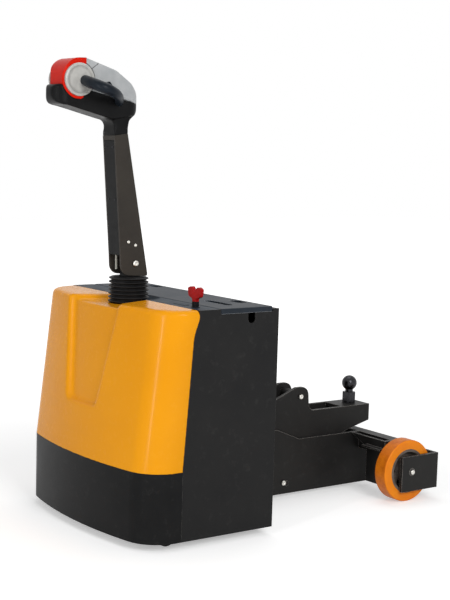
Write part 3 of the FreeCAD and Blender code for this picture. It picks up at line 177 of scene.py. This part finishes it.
def moulded_yellow(name):
    """Moulded skin of the front cover, with a light pebble grain that breaks its highlights."""
    made = Finish(name, Specular_IOR_Level=0.05, Coat_Weight=0.09, Coat_Roughness=0.15)
    wide = made.noise(3.2, 3.0)
    low, high = tone(0.755, 0.292, 0.004), tone(0.805, 0.322, 0.005)
    colour = made.blend(made.spread(wide, 0.3, 0.7), low, high)
    grime = made.sums("MULTIPLY", made.spread(made.noise(14.0, 7.0, 0.72), 0.60, 0.82), 0.16)
    colour = made.blend(grime, colour, tone(0.60, 0.225, 0.008))
    made.bump(made.noise(30.0, 2.0), 0.0010, 0.14)
    made.bump(made.cells(170.0, 0.7), 0.0006, 0.20)
    made.bump(made.noise(460.0, 2.0), 0.0002, 0.3)
    return made.done(colour, made.spread(made.noise(60.0, 3.0), 0.3, 0.7, 0.20, 0.30))


def grained_plastic(name, dark, light, rough, grain=420.0, specular=0.16):
    """Moulded plastic with a pebbled grain, scuffed in places. A greater grain is a finer one."""
    deep = 0.00022
    made = Finish(name, Specular_IOR_Level=specular)
    made.round_edges(0.0012)
    wide = made.noise(9.0, 4.0, 0.6)
    colour = made.blend(made.spread(wide, 0.32, 0.68), dark, light)
    scuff = made.sums("MULTIPLY", made.spread(made.noise(75.0, 6.0, 0.75), 0.6, 0.8), 0.3)
    colour = made.blend(scuff, colour, light)
    made.bump(made.cells(grain, 0.6), deep, 0.5)
    made.bump(made.noise(grain * 2.1, 2.0), deep * 0.5, 0.35)
    return made.done(colour, made.spread(made.noise(34.0, 4.0), 0.3, 0.7, rough - 0.05, rough + 0.07))


def smooth_plastic(name, dark, light, rough, black_below=None):
    """Smooth coloured plastic, black below a height where one is given."""
    made = Finish(name, Specular_IOR_Level=0.06)
    made.round_edges(0.001)
    colour = made.blend(made.spread(made.noise(22.0, 4.0), 0.3, 0.7), dark, light)
    if black_below is not None:
        height = made.add("ShaderNodeSeparateXYZ", {0: made.place}).outputs["Z"]
        above = made.spread(height, black_below - 0.0002, black_below + 0.0002)
        colour = made.blend(above, tone(0.008, 0.008, 0.009), colour)
    handled = made.spread(made.noise(130.0, 5.0, 0.7), 0.5, 0.75, 0.0, 0.12)
    made.bump(made.noise(90.0, 2.0), 0.0003, 0.12)
    return made.done(colour, made.sums("ADD", handled, rough))


def rubber(name, dark, light, rough, specular=0.15):
    """Dusty rubber with a fine tooth."""
    made = Finish(name, Specular_IOR_Level=specular)
    wide = made.noise(24.0, 6.0, 0.7)
    colour = made.blend(made.spread(wide, 0.4, 0.75), dark, light)
    made.bump(made.noise(700.0, 3.0), 0.00015, 0.5)
    return made.done(colour, made.spread(wide, 0.3, 0.7, rough - 0.08, rough + 0.1))


def cast_tyre(name):
    """Cast polyurethane: a deep orange, cloudy, darker in patches on its running face, with faint turning
    lines.
    """
    made = Finish(name, Specular_IOR_Level=0.18, Subsurface_Weight=0.08, Subsurface_Scale=0.004)
    made.shader.inputs["Subsurface Radius"].default_value = (1.0, 0.35, 0.08)
    made.round_edges(0.0012)
    cloud = made.noise(17.0, 4.0, 0.6)
    colour = made.blend(made.spread(cloud, 0.3, 0.7), tone(0.80, 0.200, 0.004), tone(0.90, 0.270, 0.008))
    facing = made.add("ShaderNodeNewGeometry").outputs["Normal"]
    split = made.add("ShaderNodeSeparateXYZ", {0: facing})
    running = made.spread(made.sums("ABSOLUTE", split.outputs["X"]), 0.75, 0.25)
    running_patches = made.spread(made.noise(36.0, 7.0, 0.75), 0.36, 0.66, 0.25, 0.9)
    colour = made.blend(made.sums("MULTIPLY", running, running_patches), colour, tone(0.50, 0.105, 0.004))
    lines = made.noise(24.0, 3.0, 0.6, stretch=(40.0, 1.0, 1.0))
    made.bump(lines, 0.0004, 0.25)
    made.bump(made.noise(320.0, 3.0), 0.00018, 0.4)
    return made.done(colour, made.spread(cloud, 0.3, 0.7, 0.34, 0.48))


def cast_iron(name, dark, light):
    """A rough sand casting."""
    made = Finish(name, Specular_IOR_Level=0.25)
    made.round_edges(0.0014)
    cloud = made.noise(28.0, 6.0, 0.7)
    colour = made.blend(made.spread(cloud, 0.35, 0.7), dark, light)
    made.bump(made.cells(260.0, 0.8), 0.0006, 0.45)
    return made.done(colour, made.spread(cloud, 0.3, 0.7, 0.45, 0.62))


def plated_steel(name, dark, light, rough=0.3):
    """Plated or forged metal: clouded patches and a fine speckle."""
    made = Finish(name, Metallic=1.0)
    made.round_edges(0.0006)
    cloud = made.noise(150.0, 5.0, 0.7)
    colour = made.blend(made.spread(cloud, 0.32, 0.7), dark, light)
    made.bump(made.noise(900.0, 2.0), 0.00006, 0.4)
    return made.done(colour, made.spread(cloud, 0.3, 0.7, rough - 0.06, rough + 0.14))


STEEL = coated_steel(
    "coat_black", tone(0.0110, 0.0110, 0.0114), tone(0.0150, 0.0148, 0.0147), 0.46, specular=0.10
)
# Its pale edge colour is a painted highlight along the edges of the plates and the hitch box.
FRAME = coated_steel(
    "coat_frame",
    tone(0.0125, 0.0122, 0.0120),
    tone(0.0190, 0.0182, 0.0172),
    0.42,
    wear_and_highlight_share=1.0,
    specular=0.12,
    edge=tone(0.42, 0.39, 0.36),
    edge_patch_floor=0.30,
)
SKIRT = coated_steel(
    "coat_skirt", tone(0.0082, 0.0084, 0.0088), tone(0.0120, 0.0120, 0.0122), 0.34, wear_and_highlight_share=0.35, specular=0.06
)
ARM = coated_steel(
    "coat_arm", tone(0.0290, 0.0250, 0.0210), tone(0.0390, 0.0335, 0.0275), 0.50, wear_and_highlight_share=0.3, specular=0.14
)
YELLOW = moulded_yellow("cover_skin")
# The deck's blue-grey is partly its own dark colour and partly a painted reflection of the pale sheen on
# its slopes.
DECK = grained_plastic(
    "deck_grain", tone(0.009, 0.015, 0.023), tone(0.018, 0.028, 0.042), 0.50, specular=0.10
)
# Its pale blue-grey edge colour is a painted highlight along the lid's lip and edges.
LID = coated_steel(
    "lid_coat",
    tone(0.0110, 0.0150, 0.0205),
    tone(0.0240, 0.0310, 0.0420),
    0.48,
    wear_and_highlight_share=1.0,
    specular=0.12,
    edge=tone(0.36, 0.38, 0.40),
    edge_patch_floor=0.22,
)
CASING = grained_plastic(
    "casing_grain",
    tone(0.0040, 0.0042, 0.0045),
    tone(0.0085, 0.0085, 0.0088),
    0.40,
    grain=520.0,
    specular=0.07,
)
GRIP = grained_plastic(
    "grip_grain",
    tone(0.0045, 0.0075, 0.0120),
    tone(0.0080, 0.0125, 0.0190),
    0.38,
    grain=600.0,
    specular=0.12,
)
BELLOWS = rubber("bellows_rubber", tone(0.005, 0.005, 0.0055), tone(0.016, 0.0155, 0.0155), 0.5)
TREAD = rubber("drive_rubber", tone(0.010, 0.010, 0.010), tone(0.030, 0.029, 0.027), 0.7)
ROLLER = rubber("roller_rubber", tone(0.009, 0.009, 0.009), tone(0.028, 0.027, 0.026), 0.55)
JACKET = rubber("cable_jacket", tone(0.40, 0.39, 0.34), tone(0.55, 0.54, 0.48), 0.45, specular=0.3)
TYRE = cast_tyre("cast_orange")
BUTTON = smooth_plastic("button_red", tone(0.56, 0.010, 0.003), tone(0.66, 0.016, 0.005), 0.30)
KEY = smooth_plastic(
    "key_red", tone(0.30, 0.006, 0.007), tone(0.42, 0.011, 0.012), 0.30, black_below=0.6860
)
HUB = cast_iron("hub_iron", tone(0.060, 0.050, 0.042), tone(0.190, 0.155, 0.130))
ZINC = plated_steel("zinc_plate", tone(0.55, 0.54, 0.50), tone(0.78, 0.76, 0.71))
BALL = plated_steel("black_forging", tone(0.020, 0.020, 0.022), tone(0.050, 0.050, 0.055), 0.26)
MOTOR = coated_steel("motor_coat", tone(0.018, 0.018, 0.020), tone(0.028, 0.028, 0.030), 0.42)
CASE = grained_plastic(
    "battery_case", tone(0.020, 0.020, 0.023), tone(0.034, 0.034, 0.037), 0.5, grain=300.0
)


def silver_disc(name):
    """The pale dished disc at each end of the belly button: silver paint with a fine speckle."""
    made = Finish(name, Metallic=0.15, Specular_IOR_Level=0.3)
    made.round_edges(0.001)
    cloud = made.noise(45.0, 4.0)
    colour = made.blend(made.spread(cloud, 0.3, 0.7), tone(0.40, 0.395, 0.375), tone(0.50, 0.49, 0.465))
    made.bump(made.noise(520.0, 2.0), 0.00012, 0.4)
    return made.done(colour, made.spread(cloud, 0.3, 0.7, 0.30, 0.42))


RAY_SLOPE = math.radians(38.0)


def head_shell(name, middle_y, middle_z, ring):
    """The pale top shell, with a dark parting line round the disc and a short one that runs up from it."""
    slope_sine, slope_cosine = math.sin(RAY_SLOPE), math.cos(RAY_SLOPE)
    made = Finish(name, Specular_IOR_Level=0.25)
    made.round_edges(0.004)
    cloud = made.noise(30.0, 4.0)
    colour = made.blend(made.spread(cloud, 0.3, 0.7), tone(0.37, 0.385, 0.395), tone(0.46, 0.470, 0.475))
    axis = made.add("ShaderNodeSeparateXYZ", {0: made.place})
    along = made.sums("SUBTRACT", axis.outputs["Y"], middle_y)
    up = made.sums("SUBTRACT", axis.outputs["Z"], middle_z)
    squares = made.sums("ADD", made.sums("MULTIPLY", along, along), made.sums("MULTIPLY", up, up))
    off_ring = made.sums("ABSOLUTE", made.sums("SUBTRACT", made.sums("SQRT", squares), ring))
    ring_line = made.spread(off_ring, 0.0006, 0.0012, 1.0, 0.0)
    across = made.sums("MULTIPLY", along, -slope_sine)
    across = made.sums("ADD", across, made.sums("MULTIPLY", up, slope_cosine))
    off_ray = made.sums("ABSOLUTE", across)
    ray_line = made.spread(off_ray, 0.0005, 0.0011, 1.0, 0.0)
    forward = made.sums("MULTIPLY", along, slope_cosine)
    forward = made.sums("ADD", forward, made.sums("MULTIPLY", up, slope_sine))
    ray_line = made.sums("MULTIPLY", ray_line, made.spread(forward, ring - 0.001, ring, 0.0, 1.0))
    line = made.sums("MAXIMUM", ring_line, ray_line)
    colour = made.blend(line, colour, tone(0.02, 0.02, 0.022))
    made.bump(made.sums("SUBTRACT", 1.0, line), 0.0008, 0.8)
    made.bump(made.cells(520.0, 0.6), 0.00015, 0.4)
    return made.done(colour, made.spread(cloud, 0.3, 0.7, 0.34, 0.46))


DISC = silver_disc("disc_silver")
SHELL_RING = 0.050
knob_low, knob_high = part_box("knob_right")
knob_middle = (knob_low + knob_high) / 2
SHELL = head_shell("shell_pale", knob_middle.y, knob_middle.z, SHELL_RING)

LOOKS = {
    STEEL: "side_panel_right side_panel_left rear_panel bulkhead battery_tray drive_mount "
    "caster_shelf_right caster_shelf_left caster_fork_right caster_fork_left",
    FRAME: "frame_plate_right frame_plate_left rear_beam wheel_bracket_right wheel_bracket_left "
    "hitch_frame rear_axle_right rear_axle_left hitch_pin",
    SKIRT: "front_skirt",
    ARM: "tiller_arm tiller_pin",
    CASING: "head_casing tiller_front_plate",
    YELLOW: "front_cover",
    DECK: "top_deck battery_indicator",
    LID: "battery_lid",
    BELLOWS: "bellows",
    BUTTON: "belly_button",
    KEY: "emergency_key",
    DISC: "knob_right knob_left",
    SHELL: "head_cover",
    GRIP: "handle_right handle_left rocker",
    TYRE: "rear_tyre_right rear_tyre_left",
    HUB: "rear_hub_right rear_hub_left drive_hub",
    TREAD: "drive_tyre",
    ROLLER: "caster_wheel_right caster_wheel_left",
    BALL: "tow_ball",
    MOTOR: "drive_motor drive_gearbox steering_column",
    CASE: "battery",
    JACKET: "tiller_cables",
}
for finish, names in LOOKS.items():
    for name in names.split():
        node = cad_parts[name]
        for place in node.material_slots:
            place.material = finish
        if not node.material_slots:
            node.data.materials.append(finish)

# --- camera ---------------------------------------------------------------------------------------

# The photograph was taken from the right front of the machine, just above its deck.
CAMERA_AZIMUTH, CAMERA_ELEVATION, CAMERA_ROLL = map(math.radians, (54.22, 6.52, 1.68))
CAMERA_PLACE = Vector((3.2725, -2.3750, 1.107))
CAMERA_LENS = 78.52
back = Vector((
    math.sin(CAMERA_AZIMUTH) * math.cos(CAMERA_ELEVATION),
    -math.cos(CAMERA_AZIMUTH) * math.cos(CAMERA_ELEVATION),
    math.sin(CAMERA_ELEVATION),
))
level = Vector((math.cos(CAMERA_AZIMUTH), math.sin(CAMERA_AZIMUTH), 0.0))
over = back.cross(level)
right = level * math.cos(CAMERA_ROLL) + over * math.sin(CAMERA_ROLL)
up = over * math.cos(CAMERA_ROLL) - level * math.sin(CAMERA_ROLL)
camera = bpy.data.objects.new("camera", bpy.data.cameras.new("camera"))
camera.data.sensor_width = 36.0
camera.data.lens = CAMERA_LENS
camera.data.clip_start = 0.05
camera.data.clip_end = 200.0
turn = Matrix((right, up, back)).transposed().to_4x4()
camera.matrix_world = Matrix.Translation(CAMERA_PLACE) @ turn
bpy.context.scene.collection.objects.link(camera)
bpy.context.scene.camera = camera

# --- light, floor and background ------------------------------------------------------------------


def seen_directly(tree):
    """1 for camera, mirror and glass rays, and 0 for the rays that light the object."""
    path = tree.nodes.new("ShaderNodeLightPath")
    first = tree.nodes.new("ShaderNodeMath")
    first.operation = "MAXIMUM"
    tree.links.new(path.outputs["Is Camera Ray"], first.inputs[0])
    tree.links.new(path.outputs["Is Glossy Ray"], first.inputs[1])
    both = tree.nodes.new("ShaderNodeMath")
    both.operation = "MAXIMUM"
    tree.links.new(first.outputs[0], both.inputs[0])
    tree.links.new(path.outputs["Is Transmission Ray"], both.inputs[1])
    return both.outputs[0]


def lamp(name, size, power, place, aim):
    data = bpy.data.lights.new(name, "AREA")
    data.shape = "RECTANGLE"
    data.size, data.size_y = size
    data.energy = power
    shown = bpy.data.objects.new(name, data)
    shown.location = place
    shown.rotation_mode = "QUATERNION"
    shown.rotation_quaternion = (Vector(aim) - Vector(place)).to_track_quat("-Z", "Y")
    bpy.context.scene.collection.objects.link(shown)


world = bpy.data.worlds.new("studio")
bpy.context.scene.world = world
world.use_nodes = True
backdrop = world.node_tree.nodes["Background"]
backdrop.inputs["Color"].default_value = (1.0, 1.0, 1.0, 1.0)
level_of = world.node_tree.nodes.new("ShaderNodeMapRange")
world.node_tree.links.new(seen_directly(world.node_tree), level_of.inputs["Value"])
level_of.inputs["To Min"].default_value = 0.36
level_of.inputs["To Max"].default_value = 1.0
world.node_tree.links.new(level_of.outputs["Result"], backdrop.inputs["Strength"])

lamp("strip", (0.11, 2.1), 34.0, (1.55, -3.72, 1.05), (0.31, -0.47, 0.45))
lamp("key", (1.5, 1.5), 86.0, (3.9, -0.9, 2.3), (0.1, -0.3, 0.45))
lamp("front", (1.5, 1.5), 10.0, (0.2, -3.6, 2.4), (0.0, -0.3, 0.5))
lamp("top", (1.8, 1.8), 22.0, (-0.5, 0.5, 3.4), (0.0, 0.0, 0.4))

FLOOR_HALF = 14.0
floor_mesh = bpy.data.meshes.new("floor")
floor_corners = [(x * FLOOR_HALF, y * FLOOR_HALF, 0) for x, y in ((-1, -1), (1, -1), (1, 1), (-1, 1))]
floor_mesh.from_pydata(floor_corners, [], [(0, 1, 2, 3)])
floor = bpy.data.objects.new("floor", floor_mesh)
bpy.context.scene.collection.objects.link(floor)
pale = bpy.data.materials.new("floor_pale")
pale.use_nodes = True
tree = pale.node_tree
matte = tree.nodes["Principled BSDF"]
matte.inputs["Base Color"].default_value = (0.86, 0.86, 0.86, 1.0)
matte.inputs["Roughness"].default_value = 0.9
matte.inputs["Specular IOR Level"].default_value = 0.0
matte.inputs["Emission Color"].default_value = (1.0, 1.0, 1.0, 1.0)
# The floor glows more the further it is from the machine, so that it meets the white background unseen.
spot = tree.nodes.new("ShaderNodeTexCoord")
reach = tree.nodes.new("ShaderNodeVectorMath")
reach.operation = "LENGTH"
tree.links.new(spot.outputs["Object"], reach.inputs[0])
rise = tree.nodes.new("ShaderNodeMapRange")
tree.links.new(reach.outputs["Value"], rise.inputs["Value"])
for key, number in (("From Min", 0.9), ("From Max", 3.0), ("To Min", 0.40), ("To Max", 0.9)):
    rise.inputs[key].default_value = number
lift = tree.nodes.new("ShaderNodeMath")
lift.operation = "MULTIPLY"
tree.links.new(seen_directly(tree), lift.inputs[0])
tree.links.new(rise.outputs["Result"], lift.inputs[1])
tree.links.new(lift.outputs[0], matte.inputs["Emission Strength"])
floor_mesh.materials.append(pale)

view = bpy.context.scene.view_settings
view.view_transform = "Standard"

# --- piece builders ---------------------------------------------------------------------------------


def linked(name, data):
    """A new object in the scene that holds the data."""
    made = bpy.data.objects.new(name, data)
    bpy.context.scene.collection.objects.link(made)
    return made


def piece(name, points, faces, finish, body, sharp):
    mesh = bpy.data.meshes.new(name)
    mesh.from_pydata([tuple(point) for point in points], [], faces)
    mesh.validate()
    mesh.shade_smooth()
    mesh.set_sharp_from_angle(angle=math.radians(sharp))
    mesh.materials.append(finish)
    made = linked(name, mesh)
    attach(made, body)
    return made


def square_to(axis):
    """The axis at length 1, and two directions that are square to it and to each other."""
    axis = Vector(axis).normalized()
    spare = Vector((0, 0, 1)) if abs(axis.z) < 0.9 else Vector((0, 1, 0))
    first = axis.cross(spare).normalized()
    return axis, first, axis.cross(first)


def rings(name, outline, at, axis, finish, body, around=48, sharp=35.0):
    """Stacked rings about an axis. Each is (radius or function of angle, height); the ends are closed."""
    axis, first, second = square_to(axis)
    at = Vector(at)
    points, faces = [], []
    for radius, height in outline:
        for step in range(around):
            angle = math.tau * step / around
            reach = radius(angle) if callable(radius) else radius
            points.append(at + axis * height + (first * math.cos(angle) + second * math.sin(angle)) * reach)
    for ring in range(len(outline) - 1):
        for step in range(around):
            on = (step + 1) % around
            low, high = ring * around, (ring + 1) * around
            faces.append((low + step, low + on, high + on, high + step))
    faces.append(tuple(reversed(range(around))))
    faces.append(tuple(range((len(outline) - 1) * around, len(outline) * around)))
    return piece(name, points, faces, finish, body, sharp)


def hexagon(across):
    """The radius of a hexagon, across its flats, at an angle."""
    half = math.pi / 6
    return lambda angle: across / 2 / math.cos((angle % (2 * half)) - half)


def socket_screw(name, at, axis, radius, height, body, finish=ZINC):
    """A button-head screw with a hexagon socket."""
    socket = hexagon(radius * 0.95)
    outline = [
        (radius, -0.001),
        (radius, height * 0.25),
        (radius * 0.94, height * 0.62),
        (radius * 0.80, height * 0.90),
        (radius * 0.64, height),
        (socket, height * 0.98),
        (socket, height * 0.25),
        (radius * 0.2, height * 0.18),
    ]
    return rings(name, outline, at, axis, finish, body)


def pin_end(name, at, axis, radius, height, body):
    """The chamfered end of a round pin with its lathe centre."""
    outline = [
        (radius, -0.001),
        (radius, height * 0.55),
        (radius * 0.86, height),
        (radius * 0.34, height),
        (radius * 0.22, height * 0.70),
        (radius * 0.05, height * 0.45),
    ]
    return rings(name, outline, at, axis, ZINC, body)


# --- softened pieces ------------------------------------------------------------------------------


def evaluated(holder, name):
    """The holder's mesh with its modifiers applied."""
    graph = bpy.context.evaluated_depsgraph_get()
    made = bpy.data.meshes.new_from_object(holder.evaluated_get(graph), depsgraph=graph)
    made.name = name
    return made


def ramp(number, low, high):
    """0 below low, 1 above high, and an even curve between."""
    share = min(max((number - low) / (high - low), 0.0), 1.0)
    return share * share * (3 - 2 * share)


SURFACES = {}


def seated(node, origin, direction):
    """Where a line from a point meets a CAD node, and the surface's direction there."""
    if node not in SURFACES:
        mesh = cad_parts[node].data
        corners = [point.co for point in mesh.vertices]
        SURFACES[node] = BVHTree.FromPolygons(corners, [face.vertices for face in mesh.polygons])
    spot, normal = SURFACES[node].ray_cast(Vector(origin), Vector(direction))[:2]
    return spot, normal


COVER_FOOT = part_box("front_cover")[0].z
COVER_HALF = 0.350
COVER_BACK = -0.3605
RECESS_FOOT = 0.08  # above the cover's foot
RECESS_HALF = 0.20
FACE_X = 0.26  # beside the recess, where the cover's face is plain
FACE_RISE = 0.30
FACE_LIMIT = -0.44  # a ray that meets nothing before this has gone through the trough
NEAR_FACE = -0.45
STEP_UP = 0.01


def steepen(mesh):
    """Make the recess's even sides steep in the middle, and run them out at both ends."""

    def face_at(x, z):
        spot = seated("front_cover", (x, -1.0, z), (0, 1, 0))[0]
        return spot.y if spot is not None and spot.y < FACE_LIMIT else None

    plain = COVER_FOOT + RECESS_FOOT
    lean = (face_at(FACE_X, plain + FACE_RISE) - face_at(FACE_X, plain)) / FACE_RISE
    middle = face_at(0.0, plain)
    deep = max(face_at(0.0, plain + STEP_UP * step) - middle - lean * STEP_UP * step for step in range(30))
    known = {}
    for vertex in mesh.vertices:
        x, y, z = vertex.co
        if abs(x) > RECESS_HALF or z < plain or y > NEAR_FACE:
            continue
        key = (round(x, 3), round(z, 3))
        if key not in known:
            here, below = face_at(*key), face_at(key[0], plain)
            share = 0.0 if here is None else (here - below - lean * (key[1] - plain)) / deep
            share = min(max(share, 0.0), 1.0)
            known[key] = (ramp(share, 0.16, 0.84) - share) * deep
        vertex.co.y += known[key]


def softened(node, name, finish, body, voxel, passes, share_at, kept, shaped=None):
    """A CAD node's own shape with flowing edges where share_at(point) is above 0, on a finer mesh.

    voxel is the fine mesh's cell, passes is how often it is smoothed, and kept is the share of its faces
    that stay. shaped(mesh) may move its points before that.
    """
    holder = linked(name + "_form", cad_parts[node].data.copy())
    fine = holder.modifiers.new("fine", "REMESH")
    fine.mode = "VOXEL"
    fine.voxel_size = voxel
    holder.data = evaluated(holder, name + "_fine")
    holder.modifiers.clear()
    if shaped is not None:
        shaped(holder.data)
    freely = holder.vertex_groups.new(name="freely")
    shares = {}
    for vertex in holder.data.vertices:
        shares.setdefault(round(share_at(vertex.co), 1), []).append(vertex.index)
    for share, indices in shares.items():
        freely.add(indices, share, "REPLACE")
    flow = holder.modifiers.new("flow", "SMOOTH")
    flow.factor = 0.6
    flow.iterations = passes
    flow.vertex_group = "freely"
    fewer = holder.modifiers.new("fewer", "DECIMATE")
    fewer.ratio = kept
    mesh = evaluated(holder, name)
    bpy.data.objects.remove(holder)
    mesh.materials.clear()
    mesh.materials.append(finish)
    mesh.shade_smooth()
    made = linked(name, mesh)
    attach(made, body)
    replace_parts(made, node)


def cover_share(point):
    """The front cover flows everywhere but along its foot, its seams with the sides and its back edge."""
    above_foot = ramp(point.z, COVER_FOOT + 0.004, COVER_FOOT + 0.040)
    off_seam = ramp(COVER_HALF - abs(point.x), 0.004, 0.040)
    return above_foot * off_seam * ramp(COVER_BACK - point.y, 0.0, 0.020)


CASING_NOSE = -0.600
CASING_NECK_TOP = 1.228


def casing_share(point):
    """The head casing flows at its nose and its neck."""
    nose = ramp(CASING_NOSE - point.y, 0.0, 0.020)
    neck = ramp(CASING_NECK_TOP - point.z, 0.0, 0.020) * ramp(point.z, 1.150, 1.165)
    return max(nose, neck)


softened(
    "front_cover", "cover_skin", YELLOW, "chassis", 0.0019, 70, cover_share, 0.20, steepen
)
softened("head_casing", "casing_skin", CASING, "tiller", 0.0015, 60, casing_share, 0.30)

# --- tiller: handles and cables -------------------------------------------------------------------

SIDES = ((1, "right"), (-1, "left"))
AXIS_Y = -0.3675
PIVOT_Z = 0.772


def tube_line(name, route, radius, around, along, order):
    """A round closed tube along (x, y, z, stoutness) points."""
    data = bpy.data.curves.new(name, "CURVE")
    data.dimensions = "3D"
    data.bevel_depth = radius
    data.bevel_resolution = around
    data.resolution_u = along
    data.use_fill_caps = True
    spline = data.splines.new("NURBS")
    spline.points.add(len(route) - 1)
    for point, (x, y, z, stout) in zip(spline.points, route):
        point.co = (x, y, z, 1.0)
        point.radius = stout
    spline.order_u = order
    spline.use_endpoint_u = True
    return data


def grip(side, word):
    """A loop handle, from the disc out and back into the head's flank, slimmer towards its end."""
    route = [
        (side * 0.046, AXIS_Y - 0.184, 1.2890, 1.0),
        (side * 0.085, AXIS_Y - 0.186, 1.2810, 1.08),
        (side * 0.128, AXIS_Y - 0.182, 1.2720, 1.08),
        (side * 0.126, AXIS_Y - 0.128, 1.2560, 1.0),
        (side * 0.080, AXIS_Y - 0.090, 1.2430, 0.92),
        (side * 0.034, AXIS_Y - 0.066, 1.2330, 0.84),
    ]
    holder = linked("grip_line", tube_line("grip_line", route, 0.0148, 8, 10, 4))
    mesh = evaluated(holder, f"grip_{word}")
    bpy.data.objects.remove(holder)
    mesh.materials.clear()
    mesh.materials.append(GRIP)
    mesh.shade_smooth()
    made = linked(f"grip_{word}", mesh)
    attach(made, "tiller")
    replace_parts(made, f"handle_{word}")


for side, word in SIDES:
    grip(side, word)


def cable(name, across):
    """One control cable, from the arm's end wall down its open front."""
    route = [
        (across, AXIS_Y - 0.055, PIVOT_Z + 0.3547),
        (across, AXIS_Y - 0.034, PIVOT_Z + 0.060),
        (across, AXIS_Y - 0.033, PIVOT_Z - 0.020),
    ]
    data = tube_line(name, [(*spot, 1.0) for spot in route], 0.0035, 6, 24, 3)
    data.materials.append(JACKET)
    made = linked(name, data)
    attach(made, "tiller")
    return made


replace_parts(cable("cable_right", 0.017), "tiller_cables")
cable("cable_left", -0.017)

# --- screws and pin ends --------------------------------------------------------------------------

ARM_SCREWS = ((-0.024, 0.835), (0.0, 0.825))  # from the steering axis, and their height
PLATE_SCREWS = (1.107, 0.957)
HITCH_PIN_AXIS = 0.016  # in from the low corner of the pin's box
STUD_Y, STUD_Z = 0.1908, 0.053

arm_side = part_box("tiller_arm")[1].x
for side, word in SIDES:
    for index, (along, height) in enumerate(ARM_SCREWS):
        spot = (side * arm_side, AXIS_Y + along, height)
        socket_screw(f"arm_screw_{word}_{index + 1}", spot, (side, 0, 0), 0.0048, 0.0022, "tiller")
    spot = (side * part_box("tiller_pin")[1].x, AXIS_Y, PIVOT_Z)
    socket_screw(f"pivot_screw_{word}", spot, (side, 0, 0), 0.009, 0.0025, "tiller")
    low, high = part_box("hitch_pin")
    spot = (side * high.x, low.y + HITCH_PIN_AXIS, low.z + HITCH_PIN_AXIS)
    pin_end(f"hitch_pin_end_{word}", spot, (side, 0, 0), 0.0075, 0.002, "chassis")
    low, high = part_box(f"rear_axle_{word}")
    spot = (high.x if side > 0 else low.x, (low.y + high.y) / 2, (low.z + high.z) / 2)
    pin_end(f"axle_end_{word}", spot, (side, 0, 0), 0.0075, 0.002, "chassis")
    spot = (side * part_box("frame_plate_right")[1].x, STUD_Y, STUD_Z)
    pin_end(f"frame_stud_{word}", spot, (side, 0, 0), 0.008, 0.003, "chassis")

for side, word in SIDES:
    for index, height in enumerate(PLATE_SCREWS):
        spot, normal = seated("tiller_front_plate", (side * 0.017, -0.7, height), (0, 1, 0))
        screw = f"plate_screw_{word}_{index + 1}"
        socket_screw(screw, spot, normal, 0.0030, 0.0014, "tiller", BALL)

# --- bellows --------------------------------------------------------------------------------------

FOLDS = 7
FOLDS_TOP = 0.7325
FOLD_WIDE, FOLD_TAPER = 0.0605, 0.0003
# How far in from the fold's rim, at which share of the fold's height.
FOLD_OUTLINE = (
    (0.0085, 0.06),
    (0.0055, 0.20),
    (0.0012, 0.38),
    (0.0, 0.52),
    (0.0012, 0.66),
    (0.0055, 0.84),
    (0.0085, 0.96),
)
NECK = [(0.0300, 0.7328), (0.0264, 0.7350), (0.0258, 0.7480), (0.0235, 0.7490)]

low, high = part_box("bellows")
folds = [(0.0560, low.z)]
pitch = (FOLDS_TOP - low.z) / FOLDS
for index in range(FOLDS):
    foot, wide = low.z + pitch * index, FOLD_WIDE - FOLD_TAPER * index
    for inward, share in FOLD_OUTLINE:
        folds.append((wide - inward, foot + pitch * share))
folds += NECK
gaiter = rings("gaiter", folds, (0, AXIS_Y, 0), (0, 0, 1), BELLOWS, "chassis", 72, 80.0)
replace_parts(gaiter, "bellows")
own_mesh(gaiter)
